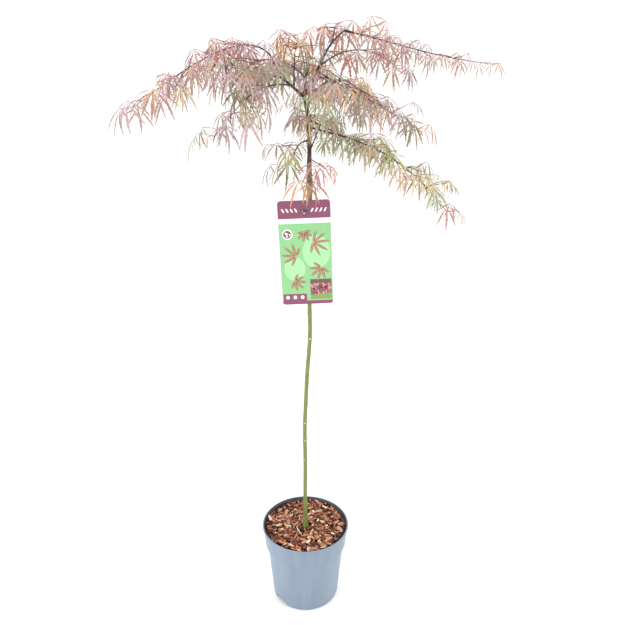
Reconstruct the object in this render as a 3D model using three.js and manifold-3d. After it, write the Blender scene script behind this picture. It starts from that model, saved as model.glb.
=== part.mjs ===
// A weeping maple grafted on a tall clear stem, growing in a round nursery pot.
// The origin is the middle of the pot's flat underside, +Z is up, and sizes are in millimetres.
// Every limb of the crown is one arch. Its first stretch is a bare bough, and the rest is the stem
// that one mass of leaves grows from.
import * as THREE from 'three';
import { mergeVertices } from 'three/addons/utils/BufferGeometryUtils.js';
import Module from 'manifold-3d';

const wasm = await Module();
wasm.setup();

// ---- Driving dimensions ----
const GAP = 0.3;
const MERGE_UNDER = 0.02;

const POT_HEIGHT = 176;
const POT_RIM_RADIUS = 95;
const POT_FOOT_RADIUS = 72;
const POT_WALL = 2;
const POT_FLOOR = 3;
const POT_SIDES = 36;
const LIP_HEIGHT = 4;
const LIP_OVERHANG = 1.6;
const COLLAR_HEIGHT = 44;
const COLLAR_TAPER = 4;
const COLLAR_STEP = 4.9;
const FOOT_ROUNDING = 5;
const DRAIN = { azimuths: [223, 43], width: 40, height: 10, depth: 9 };

const SOIL_TOP = 165;
const SOIL_RIPPLE = { height: 3.5, lobes: 5, twist: 9, rings: 2, flatRadius: 18 };

const FORK = new THREE.Vector3(1, 0, 1063);
const TRUNK_FOOT = SOIL_TOP + GAP;
const TRUNK_LEAN = { offset: 10.5, from: 420, to: 650 };
const TRUNK_BEND = { from: 985, power: 2.2 };
const TRUNK_RADIUS = 4.3;
const FORK_RADIUS = 3.6;
const ROOT_FLARE = { extra: 3.4, height: 16 };
const GRAFT = { height: 912, extra: 1.3, length: 14 };
const TRUNK_SIDES = 10;
const TRUNK_STEP = 46;

const BOUGH_SIDES = 6;
const BOUGH_STEPS = 4;
const HANDLE = 0.42;
const TIP_SHARE = 0.38;
const STEM_SIDES = 4;
const STEM_STEPS = 8;

const NODE_SPACING = 31;
const NODE_OFFSET = 0.35;
const NODE_SPREAD = [52, 86];
const LAST_LEAF_PLACE = 0.99;
const TWIG_EVERY = 3;
const TWIG_LENGTH = [42, 66];
const TWIG_RISE = [-36, 4];
const TWIG_RADII = [1.15, 0.7];
const TWIG_LEAF_TURN = { middle: 70, end: 38 };
const STALK_LENGTH = [20, 32];
const STALK_RISE = [-10, 24];
const STALK_RADIUS = 0.8;
const LEAF_LENGTH = [48, 64];
const LEAF_HALF_THICKNESS = 1.2;
const LEAF_PITCH = [-74, -36];
const LEAF_SWING = 28;
const LEAF_OPEN = [0.7, 1.15];
const LEAF_TRIES = 12;
const LOBE_ANGLES = [-76, -38, 0, 38, 76];
const LOBE_SHARES = [0.6, 0.9, 1, 0.9, 0.6];
const LOBE_DROOP = 26;
const NOTCH_SHARE = 0.15;
const NOTCH_BEYOND = 26;
const SAMPLE_STEP = 9;
const APART = { limb: 1.6, mass: 7, leaf: 4 };

const LABEL = { width: 97, height: 198, thickness: 0.8, corner: 6, top: 886, x: 0, y: -7.4, tilt: 1.2 };
const LABEL_HOLE = { radius: 3.6, drop: 21 };
const LABEL_NET = { columns: 11, rows: 22, clearance: 5 };
const TIE_RADIUS = 0.8;

// Main boughs: name, tip (azimuth, reach from the fork, height), elevation at each end, radii.
const MAINS = [
  ['left_main', 178, 43, 1097, 40, 38, 2.8, 1.9],
  ['right_main', 6, 69, 1168, 54, 36, 2.8, 1.8],
  ['back_main', 84, 52, 1104, 44, 30, 2.7, 1.9],
];

// Arches: name, parent, place along it (a share of a bough, a height on the trunk), azimuth, reach
// from the fork's axis and height of the tip, elevation at each end, bare share, radius, fade (how
// much smaller and sparser its growth gets towards the tip), leaf tint.
const ARCHES = [
  ['top_right', 'right_main', 0.8, 46, 88, 1184, 52, -4, 0.16, 1.5, 0, 'salmon'],
  ['top_left', 'back_main', 0.8, 105, 92, 1171, 68, 10, 0.2, 1.5, 0, 'orange'],
  ['left_far', 'left_main', 1, 183, 298, 1042, 78, -35, 0.2, 1.8, 0, 'rose'],
  ['left_upper', 'left_main', 0.92, 157, 212, 1116, 8, -6, 0.16, 1.7, 0.1, 'rose'],
  ['left_low', 'left_main', 0.55, 213, 172, 998, 4, -46, 0.24, 1.6, 0.1, 'bronze'],
  ['right_far', 'right_main', 1, 3, 330, 1116, -12, -6, 0.08, 1.8, 0.5, 'salmon'],
  ['right_upper', 'right_main', 0.42, 30, 205, 1114, 34, -28, 0.16, 1.7, 0.1, 'salmon'],
  ['right_mid', 'right_main', 0.35, 342, 196, 1006, -30, -38, 0.2, 1.6, 0.1, 'bronze'],
  ['back_left', 'back_main', 0.7, 122, 236, 1078, 38, -36, 0.18, 1.7, 0.1, 'bronze'],
  ['back', 'back_main', 1, 90, 262, 1056, 34, -40, 0.14, 1.8, 0.1, 'rose'],
  ['back_right', 'back_main', 0.5, 62, 214, 1034, 22, -42, 0.22, 1.7, 0.1, 'olive'],
  ['front_left', 'left_main', 0.8, 238, 186, 1080, 40, -30, 0.2, 1.7, 0.25, 'bronze'],
  ['front_right', 'trunk', 1044, 302, 206, 1040, 48, -38, 0.2, 1.7, 0.25, 'bronze'],
  ['top_front', 'left_main', 0.4, 266, 118, 1134, 66, -8, 0.2, 1.5, 0.42, 'olive'],
  ['right_long', 'trunk', 1012, 350, 258, 868, -12, -50, 0.2, 1.9, 0.25, 'olive'],
  ['right_low', 'trunk', 1026, 26, 150, 990, -22, 4, 0.24, 1.6, 0, 'olive'],
  ['back_low', 'trunk', 1030, 78, 168, 980, 6, -46, 0.22, 1.6, 0.1, 'olive'],
  ['inner_right', 'trunk', 972, 322, 52, 1066, 56, 70, 0.46, 1.5, 0, 'olive'],
  ['low_left', 'trunk', 990, 205, 32, 946, 0, -60, 0.3, 1.4, 0, 'olive'],
  ['low_front', 'trunk', 972, 275, 36, 918, 0, -56, 0.3, 1.4, 0, 'salmon'],
];

const TINTS = { rose: 0xc98a8e, salmon: 0xd0887c, orange: 0xd98b52, bronze: 0x9c8468, olive: 0x8b9164 };

// ---- Small helpers ----
const radians = THREE.MathUtils.degToRad;
const mix = THREE.MathUtils.lerp;
const UP = new THREE.Vector3(0, 0, 1);

function heading(azimuth) {
  return new THREE.Vector3(Math.cos(radians(azimuth)), Math.sin(radians(azimuth)), 0);
}

function polar(azimuth, reach, height) {
  return new THREE.Vector3(FORK.x, FORK.y, height).addScaledVector(heading(azimuth), reach);
}

// A repeatable stream of numbers between 0 and 1: a 32-bit linear congruential rule.
function seededStream(seed) {
  const factor = 1664525;
  const step = 1013904223;
  const range = 2 ** 32;
  let state = seed;
  return () => {
    state = (Math.imul(state, factor) + step) >>> 0;
    return state / range;
  };
}

// ---- Solids: a closed geometry becomes a manifold, which can be joined and cut ----
function solidOf(geometry) {
  const bare = geometry.clone();
  bare.deleteAttribute('normal');
  bare.deleteAttribute('uv');
  const merged = mergeVertices(bare, 1e-4);
  return new wasm.Manifold(new wasm.Mesh({
    numProp: 3,
    vertProperties: new Float32Array(merged.attributes.position.array),
    triVerts: new Uint32Array(merged.index.array),
  }));
}

function largestPiece(solid) {
  return solid.decompose().reduce((best, piece) => (piece.volume() > best.volume() ? piece : best));
}

function meshOf(name, solid, colour, roughness) {
  const { vertProperties, triVerts } = solid.getMesh();
  const geometry = new THREE.BufferGeometry();
  geometry.setAttribute('position', new THREE.BufferAttribute(vertProperties, 3));
  geometry.setIndex(new THREE.BufferAttribute(triVerts, 1));
  const flat = geometry.toNonIndexed();
  flat.computeVertexNormals();
  const material = new THREE.MeshStandardMaterial({ color: colour, roughness, metalness: 0 });
  const mesh = new THREE.Mesh(flat, material);
  mesh.name = name;
  return mesh;
}

// ---- Limbs ----
function leaning(flat, elevation) {
  const rise = radians(elevation);
  return flat.clone().multiplyScalar(Math.cos(rise)).addScaledVector(UP, Math.sin(rise));
}

// An arch leaves its start at one elevation and comes in to its tip at another.
function arch(start, tip, leave, arrive) {
  const flat = new THREE.Vector3(tip.x - start.x, tip.y - start.y, 0).normalize();
  const handle = HANDLE * start.distanceTo(tip);
  return new THREE.CubicBezierCurve3(
    start,
    start.clone().addScaledVector(leaning(flat, leave), handle),
    tip.clone().addScaledVector(leaning(flat, arrive), -handle),
    tip,
  );
}

// The trunk rises straight, leans to one side on its way up, and bends back below its fork.
class TrunkCurve extends THREE.Curve {
  getPoint(share) {
    const z = mix(TRUNK_FOOT, FORK.z, share);
    const lean = TRUNK_LEAN.offset * THREE.MathUtils.smoothstep(z, TRUNK_LEAN.from, TRUNK_LEAN.to);
    const bend = Math.max(0, (z - TRUNK_BEND.from) / (FORK.z - TRUNK_BEND.from)) ** TRUNK_BEND.power;
    return new THREE.Vector3(lean - (TRUNK_LEAN.offset - FORK.x) * bend, 0, z);
  }
}

// A limb is a curve, the shares of it where its rings stand, its radius at each share, and its sides.
function limb(curve, shares, radiusAt, sides) {
  return { curve, shares, from: shares[0], to: shares.at(-1), radiusAt, sides };
}

function evenly(from, to, steps) {
  return Array.from({ length: steps + 1 }, (_, step) => mix(from, to, step / steps));
}

// The limb's solid is a cylinder bent along its curve. A fat copy, `extra` wider and longer, is what
// neighbours are cut with.
function limbSolid({ curve, shares, radiusAt, sides }, extra = 0) {
  const steps = shares.length - 1;
  let side = new THREE.Vector3(1, 0, 0);
  const rings = shares.map((share, step) => {
    const tangent = curve.getTangent(share);
    side = side.clone().addScaledVector(tangent, -side.dot(tangent)).normalize();
    const overrun = (step === steps ? extra : 0) - (step === 0 ? extra : 0);
    return {
      centre: curve.getPoint(share).addScaledVector(tangent, overrun),
      side,
      across: new THREE.Vector3().crossVectors(tangent, side),
      radius: radiusAt(share) + extra,
    };
  });
  const geometry = new THREE.CylinderGeometry(1, 1, 1, sides, steps);
  const place = geometry.attributes.position;
  for (let index = 0; index < place.count; index += 1) {
    const ring = rings[Math.round((place.getY(index) + 0.5) * steps)];
    const point = ring.centre.clone()
      .addScaledVector(ring.side, place.getZ(index) * ring.radius)
      .addScaledVector(ring.across, place.getX(index) * ring.radius);
    place.setXYZ(index, point.x, point.y, point.z);
  }
  return solidOf(geometry);
}

// A straight three-sided twig.
function twigSolid({ root, end }) {
  const length = root.distanceTo(end);
  const geometry = new THREE.CylinderGeometry(TWIG_RADII[1], TWIG_RADII[0], length, 3, 1);
  const along = end.clone().sub(root).normalize();
  geometry.applyQuaternion(new THREE.Quaternion().setFromUnitVectors(new THREE.Vector3(0, 1, 0), along));
  const { x, y, z } = root.clone().lerp(end, 0.5);
  return solidOf(geometry.translate(x, y, z));
}

function trunkShare(height) {
  return (height - TRUNK_FOOT) / (FORK.z - TRUNK_FOOT);
}

// The trunk's rings stand close together at the flare of its foot and at the swelling of its graft.
function trunkLimb() {
  const flare = [0, 0.25, 0.6, 1.2, 2.4].map((times) => TRUNK_FOOT + times * ROOT_FLARE.height);
  const graft = [-1.8, -0.8, 0, 0.8, 1.8].map((times) => GRAFT.height + times * GRAFT.length);
  const between = (low, high) => {
    const steps = Math.round((high - low) / TRUNK_STEP);
    return evenly(low, high, steps).slice(1, -1);
  };
  const below = between(flare.at(-1), graft[0]);
  const above = between(graft.at(-1), FORK.z);
  const heights = [...flare, ...below, ...graft, ...above, FORK.z];
  const radiusAt = (share) => {
    const z = mix(TRUNK_FOOT, FORK.z, share);
    const spread = ROOT_FLARE.extra * Math.exp(-(z - TRUNK_FOOT) / ROOT_FLARE.height);
    const swelling = GRAFT.extra * Math.exp(-(((z - GRAFT.height) / GRAFT.length) ** 2));
    return mix(TRUNK_RADIUS, FORK_RADIUS, share ** 3) + spread + swelling;
  };
  return limb(new TrunkCurve(), heights.map(trunkShare), radiusAt, TRUNK_SIDES);
}

function shareBeyond(curve, share, distance) {
  const step = 1e-3;
  const speed = curve.getPoint(share + step).distanceTo(curve.getPoint(share)) / step;
  return share + distance / speed;
}

// ---- Leaves ----
// A leaf is a thin star, thickest at its hub. Its lobes point along `ahead` and to both sides of it,
// spread as far as it is open, and droop away from `face`, the way that the hub looks. Its stalk
// comes to the hub from below.
function leafOutline({ hub, ahead, face, length, open }) {
  const angles = LOBE_ANGLES.map((angle) => angle * open);
  const across = new THREE.Vector3().crossVectors(face, ahead);
  const spoke = (angle, reach, droop) => {
    const flat = Math.cos(radians(droop)) * reach;
    return hub.clone()
      .addScaledVector(ahead, flat * Math.cos(radians(angle)))
      .addScaledVector(across, flat * Math.sin(radians(angle)))
      .addScaledVector(face, -Math.sin(radians(droop)) * reach);
  };
  const notch = (angle) => spoke(angle, NOTCH_SHARE * length, LOBE_DROOP / 2);
  const tips = angles.map((angle, lobe) => spoke(angle, LOBE_SHARES[lobe] * length, LOBE_DROOP));
  const notches = angles.slice(1).map((angle, lobe) => notch((angle + angles[lobe]) / 2));
  const ends = [notch(angles[0] - NOTCH_BEYOND), notch(angles.at(-1) + NOTCH_BEYOND)];
  return [ends[0], ...tips.flatMap((tip, lobe) => [tip, notches[lobe] ?? ends[1]])];
}

// The upper face is a fan round the hub. The lower face runs in to the three corners of the stalk.
function leafSolid(leaf) {
  const rim = leafOutline(leaf);
  const { root, hub, ahead, face } = leaf;
  const across = new THREE.Vector3().crossVectors(face, ahead);
  const top = hub.clone().addScaledVector(face, LEAF_HALF_THICKNESS);
  const corners = (centre) => [0, 120, 240].map((angle) => centre.clone()
    .addScaledVector(ahead, STALK_RADIUS * Math.cos(radians(angle)))
    .addScaledVector(across, STALK_RADIUS * Math.sin(radians(angle))));
  const under = corners(hub.clone().addScaledVector(face, -LEAF_HALF_THICKNESS));
  const geometry = new THREE.BufferGeometry().setFromPoints([top, ...rim, ...under, ...corners(root)]);
  const [rimAt, underAt, footAt] = [1, 1 + rim.length, 4 + rim.length];
  const nearestCorner = rim.map((point) => {
    const way = point.clone().sub(hub);
    const turn = Math.atan2(way.dot(across), way.dot(ahead)) / (2 * Math.PI);
    return Math.round(3 * (turn + 1)) % 3;
  });
  const faces = [];
  rim.forEach((_, index) => {
    const next = (index + 1) % rim.length;
    const [corner, nextCorner] = [nearestCorner[index], nearestCorner[next]];
    faces.push(0, rimAt + index, rimAt + next);
    faces.push(rimAt + next, rimAt + index, underAt + corner);
    if (nextCorner !== corner) faces.push(rimAt + next, underAt + corner, underAt + nextCorner);
  });
  for (let corner = 0; corner < 3; corner += 1) {
    const next = (corner + 1) % 3;
    faces.push(underAt + next, underAt + corner, footAt + corner);
    faces.push(underAt + next, footAt + corner, footAt + next);
  }
  faces.push(footAt + 2, footAt + 1, footAt);
  geometry.setIndex(faces);
  return solidOf(geometry);
}

// ---- The growing rule ----
function samplesAlong(start, end) {
  const count = Math.ceil(start.distanceTo(end) / SAMPLE_STEP);
  return Array.from({ length: count }, (_, index) => start.clone().lerp(end, (index + 1) / count));
}

function limbSamples({ curve, from, to }) {
  const count = Math.ceil((3 * curve.getLength() * (to - from)) / SAMPLE_STEP);
  return evenly(from, to, count).map((share) => curve.getPoint(share));
}

function clearOf(points, samples, distance) {
  return points.every((point) => samples.every((sample) => sample.distanceTo(point) > distance));
}

function nearest(point, samples) {
  return samples.reduce((least, sample) => Math.min(least, sample.distanceTo(point)), Infinity);
}

// The space of a mass is all that lies nearer to its own stem than to the stem of any other mass.
// A leaf's hub or a twig's end lies in it, and the rest stays clear of limbs and of all that grew.
function spaceOf(own, others, limbs, grown) {
  const mine = [];
  const inside = (point) => {
    const reach = nearest(point, own);
    return others.every((samples) => nearest(point, samples) > reach);
  };
  const isFree = (points) => (
    limbs.every(({ samples, radius }) => clearOf(points, samples, radius + APART.limb))
    && others.every((samples) => clearOf(points, samples, APART.mass))
    && clearOf(points, grown, APART.mass)
    && clearOf(points, mine, APART.leaf)
  );
  return {
    mine,
    takeLeaf(leaf) {
      const stalk = samplesAlong(leaf.root, leaf.hub);
      const tips = leafOutline(leaf).filter((_, index) => index % 2 === 1);
      const blade = tips.flatMap((tip) => samplesAlong(leaf.hub, tip));
      const fits = inside(leaf.hub) && isFree([...stalk, ...blade]) && clearOf(blade, own, APART.leaf);
      if (fits) mine.push(...stalk, ...blade);
      return fits;
    },
    takeTwig({ root, end }) {
      const samples = samplesAlong(root, end);
      const fits = inside(end) && isFree(samples);
      if (fits) mine.push(...samples.slice(0, -1));
      return fits;
    },
  };
}

// Nodes stand along a stem, each with one leaf on either side. At some of the nodes a side twig
// takes the place of a leaf, and carries leaves of its own. A fading stem grows sparser and smaller
// towards its tip.
function growMass(seed, stem, fade, space) {
  const draw = seededStream(seed);
  const between = ([low, high]) => mix(low, high, draw());
  const turned = (along, turn) => (
    new THREE.Vector3(along.x, along.y, 0).normalize().applyAxisAngle(UP, radians(turn))
  );
  const leaves = [];
  const twigs = [];

  const growLeaf = (root, along, turn, size) => {
    for (let attempt = 0; attempt < LEAF_TRIES; attempt += 1) {
      const flat = turned(along, turn + between([-LEAF_SWING, LEAF_SWING]));
      const rise = between(STALK_RISE);
      const hub = root.clone().addScaledVector(leaning(flat, rise), size * between(STALK_LENGTH));
      const pitch = between(LEAF_PITCH);
      const length = size * between(LEAF_LENGTH);
      const open = between(LEAF_OPEN);
      const [ahead, face] = [leaning(flat, pitch), leaning(flat, pitch + 90)];
      const leaf = { root, hub, ahead, face, length, open };
      if (space.takeLeaf(leaf)) {
        leaves.push(leaf);
        return;
      }
    }
  };

  const growTwig = (root, along, turn, size) => {
    const way = leaning(turned(along, turn), between(TWIG_RISE));
    const end = root.clone().addScaledVector(way, size * between(TWIG_LENGTH));
    if (!space.takeTwig({ root, end })) {
      growLeaf(root, along, turn, size);
      return;
    }
    twigs.push({ root, end });
    growLeaf(root.clone().lerp(end, 0.5), way, Math.sign(turn) * TWIG_LEAF_TURN.middle, size);
    growLeaf(end, way, TWIG_LEAF_TURN.end, size);
    growLeaf(end, way, -TWIG_LEAF_TURN.end, size);
  };

  const nodes = Math.max(2, Math.round((stem.curve.getLength() * (stem.to - stem.from)) / NODE_SPACING));
  for (let node = 1; node <= nodes; node += 1) {
    const way = (node - NODE_OFFSET) / nodes;
    const share = mix(stem.from, stem.to, way ** (1 + fade));
    const root = stem.curve.getPoint(share);
    const along = stem.curve.getTangent(share);
    const spread = between(NODE_SPREAD);
    for (const side of [1, -1]) {
      const grow = (2 * node + side + 1) % TWIG_EVERY === 0 && node < nodes ? growTwig : growLeaf;
      grow(root, along, side * spread, 1 - fade * way);
    }
  }
  growLeaf(stem.curve.getPoint(LAST_LEAF_PLACE), stem.curve.getTangent(stem.to), 0, 1 - fade);
  return { leaves, twigs };
}

// ---- Pot and its filling ----
function potOuter() {
  const collarFoot = POT_HEIGHT - COLLAR_HEIGHT;
  const collarRadius = POT_RIM_RADIUS - LIP_OVERHANG;
  return [
    [POT_FOOT_RADIUS - FOOT_ROUNDING, 0],
    [POT_FOOT_RADIUS, 0.4 * FOOT_ROUNDING],
    [POT_FOOT_RADIUS + 1, FOOT_ROUNDING],
    [collarRadius - COLLAR_TAPER - COLLAR_STEP, collarFoot],
    [collarRadius - COLLAR_TAPER, collarFoot],
    [collarRadius, POT_HEIGHT - LIP_HEIGHT],
    [POT_RIM_RADIUS, POT_HEIGHT - LIP_HEIGHT],
    [POT_RIM_RADIUS, POT_HEIGHT],
  ];
}

function potInner() {
  const collarFoot = POT_HEIGHT - COLLAR_HEIGHT;
  const collarRadius = POT_RIM_RADIUS - LIP_OVERHANG - POT_WALL;
  return [
    [collarRadius, POT_HEIGHT],
    [collarRadius - COLLAR_TAPER - COLLAR_STEP, collarFoot],
    [POT_FOOT_RADIUS - POT_WALL, POT_FLOOR + FOOT_ROUNDING],
    [POT_FOOT_RADIUS - POT_WALL - FOOT_ROUNDING, POT_FLOOR],
  ];
}

function turned(profile) {
  const points = profile.map(([radius, height]) => new THREE.Vector2(radius, height));
  return new THREE.LatheGeometry(points, POT_SIDES).rotateX(Math.PI / 2);
}

function potSolid() {
  let pot = solidOf(turned([[0, 0], ...potOuter(), ...potInner(), [0, POT_FLOOR]]));
  for (const azimuth of DRAIN.azimuths) {
    const slot = new THREE.BoxGeometry(2 * DRAIN.depth, DRAIN.width, 2 * DRAIN.height);
    slot.translate(POT_FOOT_RADIUS, 0, 0).rotateZ(radians(azimuth));
    pot = pot.subtract(solidOf(slot));
  }
  return largestPiece(pot);
}

// The filling stands clear of the pot's inside, and its top ripples gently round a flat middle.
function fillingSolid() {
  const [, , low, floor] = potInner();
  const wall = potInner()[1];
  const rise = (SOIL_TOP - wall[1]) / (POT_HEIGHT - wall[1]);
  const topRadius = mix(wall[0], potInner()[0][0], rise) - GAP;
  const profile = [
    [0, floor[1] + GAP],
    [floor[0] - GAP, floor[1] + GAP],
    [low[0] - GAP, low[1]],
    [wall[0] - GAP, wall[1]],
    [topRadius, SOIL_TOP],
  ];
  for (let ring = SOIL_RIPPLE.rings - 1; ring >= 0; ring -= 1) {
    profile.push([mix(SOIL_RIPPLE.flatRadius, topRadius, ring / SOIL_RIPPLE.rings), SOIL_TOP]);
  }
  profile.push([0, SOIL_TOP]);
  const geometry = turned(profile);
  const place = geometry.attributes.position;
  for (let index = 0; index < place.count; index += 1) {
    const [x, y] = [place.getX(index), place.getY(index)];
    const reach = Math.hypot(x, y);
    const share = (reach - SOIL_RIPPLE.flatRadius) / (topRadius - SOIL_RIPPLE.flatRadius);
    if (place.getZ(index) > SOIL_TOP - 1 && share > 0) {
      const wave = 1 + Math.sin(SOIL_RIPPLE.lobes * Math.atan2(y, x) + SOIL_RIPPLE.twist * share);
      place.setZ(index, SOIL_TOP + SOIL_RIPPLE.height * share * wave);
    }
  }
  return solidOf(geometry);
}

// ---- Label and its tie ----
function labelSolid() {
  const { width, height, corner } = LABEL;
  const shape = new THREE.Shape();
  const [left, right, low, high] = [-width / 2, width / 2, -height, 0];
  shape.moveTo(left + corner, low);
  shape.lineTo(right - corner, low);
  shape.absarc(right - corner, low + corner, corner, -Math.PI / 2, 0);
  shape.absarc(right - corner, high - corner, corner, 0, Math.PI / 2);
  shape.absarc(left + corner, high - corner, corner, Math.PI / 2, Math.PI);
  shape.absarc(left + corner, low + corner, corner, Math.PI, 1.5 * Math.PI);
  const hole = new THREE.Path();
  hole.absarc(0, -LABEL_HOLE.drop, LABEL_HOLE.radius, 0, 2 * Math.PI);
  shape.holes.push(hole);
  const sheet = { depth: LABEL.thickness, bevelEnabled: false, curveSegments: 4 };
  const geometry = new THREE.ExtrudeGeometry(shape, sheet);
  geometry.rotateX(Math.PI / 2).translate(0, 0, LABEL_HOLE.drop).rotateY(radians(-LABEL.tilt));
  return solidOf(geometry.translate(LABEL.x, LABEL.y, LABEL.top - LABEL_HOLE.drop));
}

// A net of points over the label, which the leaves keep clear of.
function labelNet() {
  const { x, y, top, width, height } = LABEL;
  const across = evenly(x - width / 2, x + width / 2, LABEL_NET.columns);
  const up = evenly(top, top - height, LABEL_NET.rows);
  return across.flatMap((column) => up.map((row) => new THREE.Vector3(column, y, row)));
}

// The tie loops round the stem and out through the label's hole, which hangs on it.
function tieSolid(trunk) {
  const strand = TIE_RADIUS + GAP;
  const play = LABEL_HOLE.radius - TIE_RADIUS - GAP;
  const height = LABEL.top - LABEL_HOLE.drop + Math.sqrt(play ** 2 - strand ** 2);
  const share = trunkShare(height);
  const centre = trunk.curve.getPoint(share);
  const reach = trunk.radiusAt(share) + TIE_RADIUS + 2 * GAP;
  const middle = LABEL.y - LABEL.thickness / 2;
  const behind = middle + LABEL.thickness + TIE_RADIUS;
  const round = [315, 0, 45, 90, 135, 180].map((azimuth) => (
    centre.clone().addScaledVector(heading(azimuth), reach)
  ));
  const loop = [
    new THREE.Vector3(LABEL.x, middle - LABEL.thickness - 2 * TIE_RADIUS, height),
    new THREE.Vector3(LABEL.x + strand, middle, height),
    new THREE.Vector3(LABEL.x + 2 * strand, behind, height),
    ...round,
    new THREE.Vector3(LABEL.x - strand, behind + TIE_RADIUS, height),
    new THREE.Vector3(LABEL.x - strand, middle, height),
  ];
  const curve = new THREE.CatmullRomCurve3(loop, true, 'centripetal');
  return solidOf(new THREE.TubeGeometry(curve, 32, TIE_RADIUS, 5, true));
}

// ---- Assembly ----
const maple = new THREE.Group();
maple.name = 'potted_weeping_maple';

maple.add(meshOf('pot', potSolid(), 0xa9b5c6, 0.45));
maple.add(meshOf('filling', fillingSolid(), 0x7a4a35, 0.95));

const trunk = trunkLimb();
maple.add(meshOf('trunk', limbSolid(trunk), 0x8c9a55, 0.6));
maple.add(meshOf('label', labelSolid(), 0xa9dba4, 0.4));
maple.add(meshOf('label_tie', tieSolid(trunk), 0x3f5f4c, 0.5));

// Each limb is cut clear of every limb that was made before it.
const fatLimbs = [limbSolid(trunk, GAP)];
const limbs = { trunk };
function addLimb(name, line, colour) {
  const solid = fatLimbs.reduce((rest, fat) => rest.subtract(fat), limbSolid(line));
  fatLimbs.push(limbSolid(line, GAP));
  maple.add(meshOf(name, largestPiece(solid), colour, 0.75));
}

for (const [name, azimuth, reach, height, leave, arrive, thick, thin] of MAINS) {
  const curve = arch(FORK.clone(), polar(azimuth, reach, height), leave, arrive);
  const radiusAt = (share) => mix(thick, thin, share);
  limbs[name] = limb(curve, evenly(0, 1, BOUGH_STEPS), radiusAt, BOUGH_SIDES);
  addLimb(name, limbs[name], 0x5d4a45);
}

// Each arch is bare up to a share of its length, and past a small gap its leafy stem takes over.
const masses = ARCHES.map((row, index) => {
  const [name, parent, place, azimuth, reach, height, leave, arrive, bare, radius, fade, tint] = row;
  const start = limbs[parent].curve.getPoint(parent === 'trunk' ? trunkShare(place) : place);
  const curve = arch(start, polar(azimuth, reach, height), leave, arrive);
  const radiusAt = (share) => radius * mix(1, TIP_SHARE, share);
  const bough = limb(curve, evenly(0, bare, BOUGH_STEPS), radiusAt, BOUGH_SIDES);
  const stem = limb(curve, evenly(shareBeyond(curve, bare, GAP), 1, STEM_STEPS), radiusAt, STEM_SIDES);
  addLimb(`${name}_bough`, bough, 0x5d4a45);
  return { name, tint, fade, seed: index + 1, bough, stem };
});

const bareLimbs = [...Object.values(limbs), ...masses.map(({ bough }) => bough)].map((line) => ({
  samples: limbSamples(line),
  radius: line.radiusAt(line.from),
}));
bareLimbs.push({ samples: labelNet(), radius: LABEL_NET.clearance });
const stemSamples = masses.map(({ stem }) => limbSamples(stem));
const grown = [];
masses.forEach(({ name, tint, fade, seed, stem }, index) => {
  const others = stemSamples.filter((_, other) => other !== index);
  const space = spaceOf(stemSamples[index], others, bareLimbs, grown);
  const { leaves, twigs } = growMass(seed, stem, fade, space);
  grown.push(...space.mine);
  const joined = wasm.Manifold.union([limbSolid(stem), ...twigs.map(twigSolid), ...leaves.map(leafSolid)]);
  maple.add(meshOf(`${name}_leaves`, largestPiece(joined.simplify(MERGE_UNDER)), TINTS[tint], 0.7));
});

export default maple;
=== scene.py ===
import math

import bpy
import numpy as np
from mathutils import Matrix, Vector


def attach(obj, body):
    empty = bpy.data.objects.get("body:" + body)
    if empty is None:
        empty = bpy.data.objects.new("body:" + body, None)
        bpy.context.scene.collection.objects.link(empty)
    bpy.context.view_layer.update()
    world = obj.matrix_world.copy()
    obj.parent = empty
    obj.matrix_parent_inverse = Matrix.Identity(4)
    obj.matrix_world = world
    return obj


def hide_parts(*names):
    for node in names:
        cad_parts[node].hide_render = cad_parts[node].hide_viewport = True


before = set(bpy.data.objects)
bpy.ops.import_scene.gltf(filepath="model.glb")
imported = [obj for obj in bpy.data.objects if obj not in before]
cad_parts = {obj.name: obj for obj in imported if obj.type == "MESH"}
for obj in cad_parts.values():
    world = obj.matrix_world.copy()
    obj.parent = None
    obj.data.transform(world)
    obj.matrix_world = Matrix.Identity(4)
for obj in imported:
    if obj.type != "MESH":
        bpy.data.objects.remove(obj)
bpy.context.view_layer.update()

MM = 0.001

# ---- Plan of the plant, in millimetres and degrees, as the solids have it ----
POT_HEIGHT = 176
POT_RIM_RADIUS = 95
POT_FOOT_RADIUS = 72
POT_WALL = 2
POT_FLOOR = 3
LIP_HEIGHT = 4
LIP_OVERHANG = 1.6
COLLAR_HEIGHT = 44
COLLAR_TAPER = 4
COLLAR_STEP = 4.9
FOOT_ROUNDING = 5
DRAIN_AZIMUTHS = (223, 43)
DRAIN_WIDTH = 40
DRAIN_HEIGHT = 10

SOIL_TOP = 165
FORK = np.array([1.0, 0.0, 1063.0])
UP = np.array([0.0, 0.0, 1.0])
# The gap that the solids keep between one piece and the next.
JOIN_GAP = 0.3
TRUNK_FOOT = SOIL_TOP + JOIN_GAP
TRUNK_LEAN = {"offset": 10.5, "low": 420, "high": 650}
TRUNK_BEND = {"low": 985, "power": 2.2}
TRUNK_RADIUS = 4.3
FORK_RADIUS = 3.6
ROOT_FLARE = {"extra": 3.4, "height": 16}
GRAFT = {"height": 912, "extra": 1.3, "length": 14}
HANDLE = 0.42
TIP_SHARE = 0.38

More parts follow.
